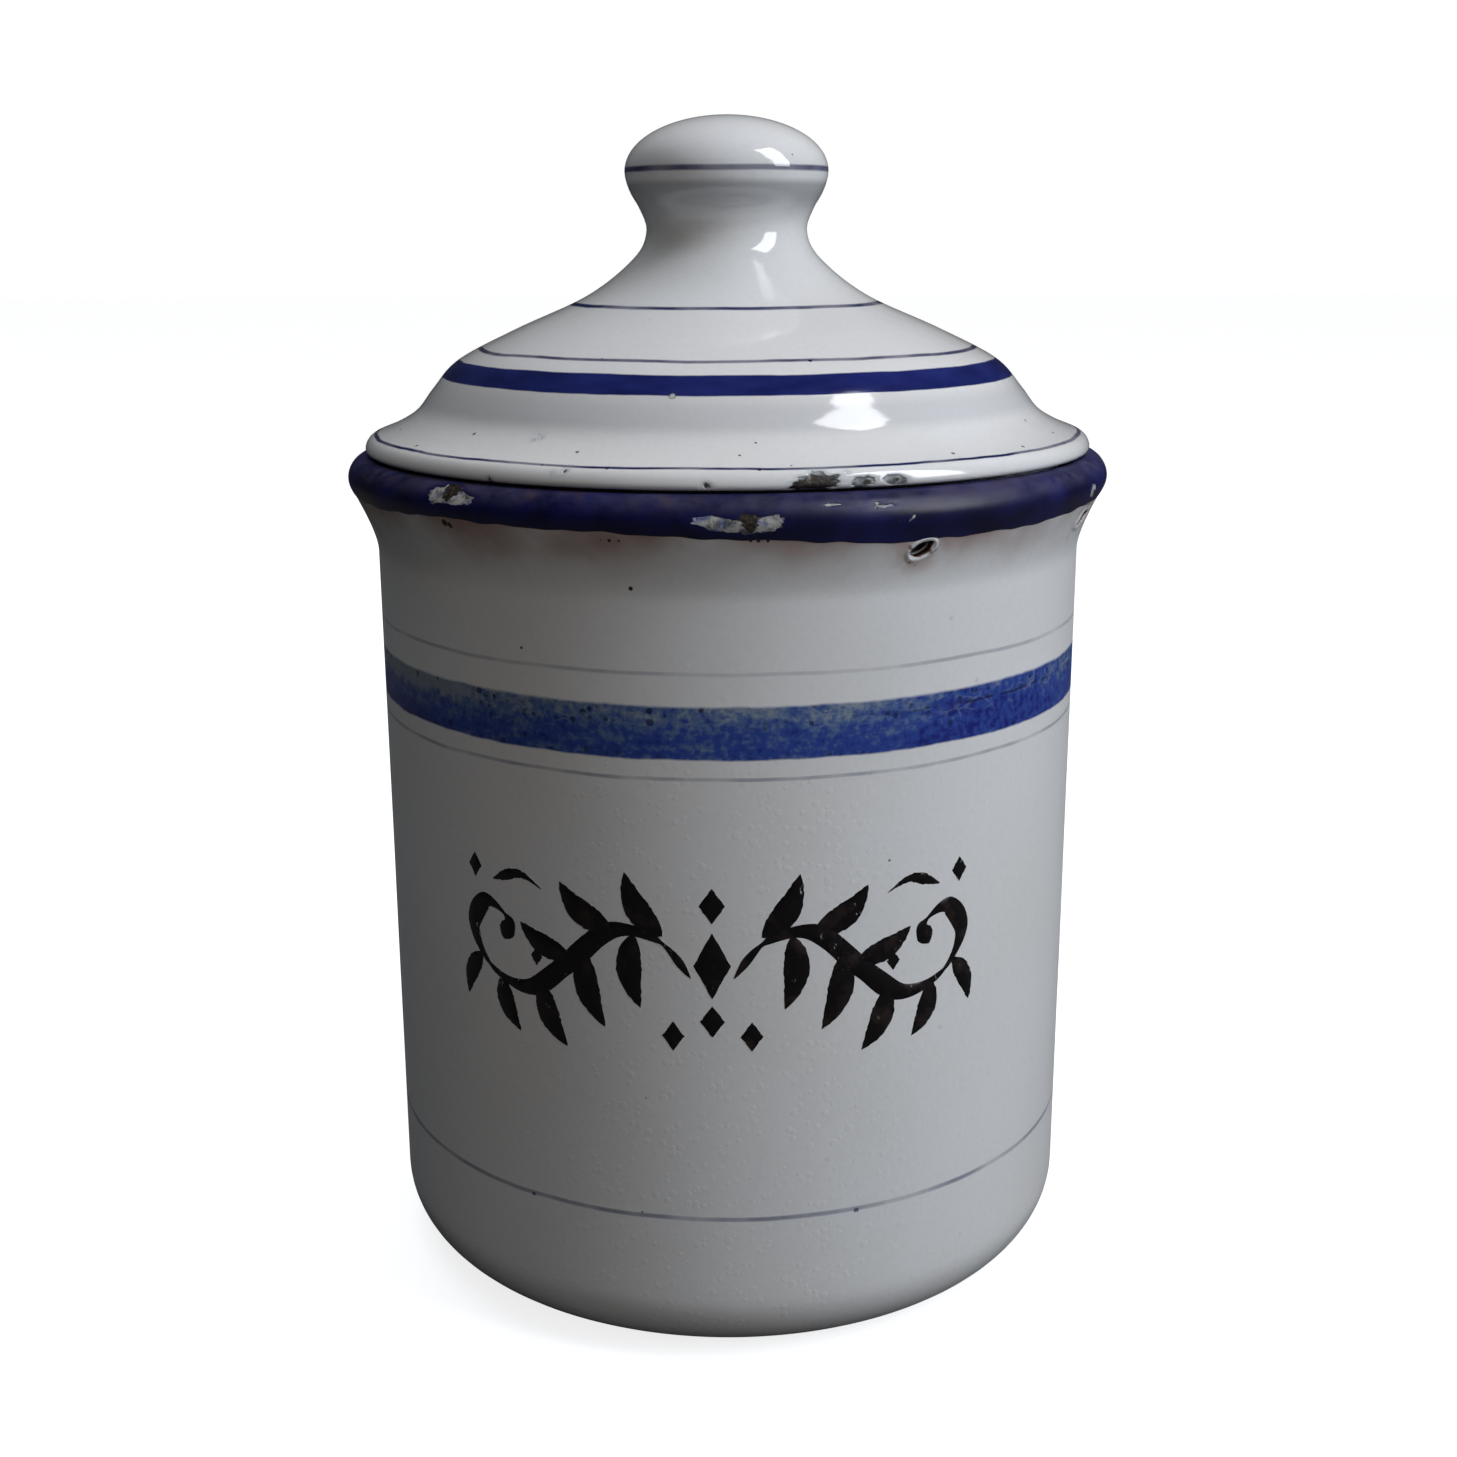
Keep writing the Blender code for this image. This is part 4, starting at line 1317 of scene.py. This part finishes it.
def shine(name, kind, azimuth, elevation, distance, power, colour, mirrored):
    """A light towards the canister, from degrees round from the front towards +X and above the floor."""
    light = bpy.data.lights.new(name, kind)
    light.energy = power
    light.color = colour
    obj = bpy.data.objects.new(name, light)
    az, el = math.radians(azimuth), math.radians(elevation)
    way = Vector((math.sin(az) * math.cos(el), -math.cos(az) * math.cos(el), math.sin(el)))
    obj.location = Vector((0, 0, MIDDLE)) + way * distance
    obj.rotation_euler = way.to_track_quat("Z", "Y").to_euler()
    obj.visible_glossy = mirrored
    bpy.context.scene.collection.objects.link(obj)
    return light


def sun(name, azimuth, elevation, strength, spread, colour):
    """A soft far light that is not mirrored in the glass."""
    shine(name, "SUN", azimuth, elevation, 0.0, strength, colour, False).angle = math.radians(spread)


def softbox(name, azimuth, elevation, distance, width, height, power, colour, mirrored=False):
    """A rectangular light."""
    light = shine(name, "AREA", azimuth, elevation, distance, power, colour, mirrored)
    light.shape = "RECTANGLE"
    light.size, light.size_y = width, height


def build_lights():
    """A tall window to the right, skies above, warm room light from behind and soft fills."""
    softbox("window", 66.0, 37.0, 0.85, 0.3, 0.76, 4.75, (0.95, 0.965, 1.0), mirrored=True)
    sun("sky", 40.0, 82.0, 0.08, 45.0, (0.45, 0.68, 1.0))
    sun("room", 150.0, 60.0, 0.75, 60.0, (1.0, 0.8, 0.66))
    sun("left_sky", -100.0, 83.0, 0.48, 40.0, (0.9, 0.95, 1.0))
    softbox("cool_fill", 68.0, 27.0, 1.0, 0.6, 0.6, 1.8, (0.8, 0.9, 1.0))
    softbox("front_fill", 8.0, 30.0, 1.0, 0.6, 0.6, 1.65, (1.0, 0.9, 0.82))
    softbox("back_edge", -150.0, 35.0, 0.7, 0.5, 0.6, 1.4, (0.9, 0.96, 1.0))


def build_camera():
    """A camera in front, tilted a little down."""
    data = bpy.data.cameras.new("camera")
    data.lens = 46.6
    data.sensor_width = 36.0
    data.clip_start = 0.01
    camera = bpy.data.objects.new("camera", data)
    camera.location = (0.0, -0.25892, 0.13989)
    tilt = Euler((math.radians(90.0 - 14.78), 0.0, 0.0)).to_matrix()
    roll = Euler((0.0, 0.0, math.radians(-0.21))).to_matrix()
    camera.rotation_euler = (tilt @ roll).to_euler()
    bpy.context.scene.collection.objects.link(camera)
    bpy.context.scene.camera = camera


build_lid(build_jar())
build_stage()
build_world()
build_lights()
build_camera()
bpy.context.scene.view_settings.view_transform = "Standard"
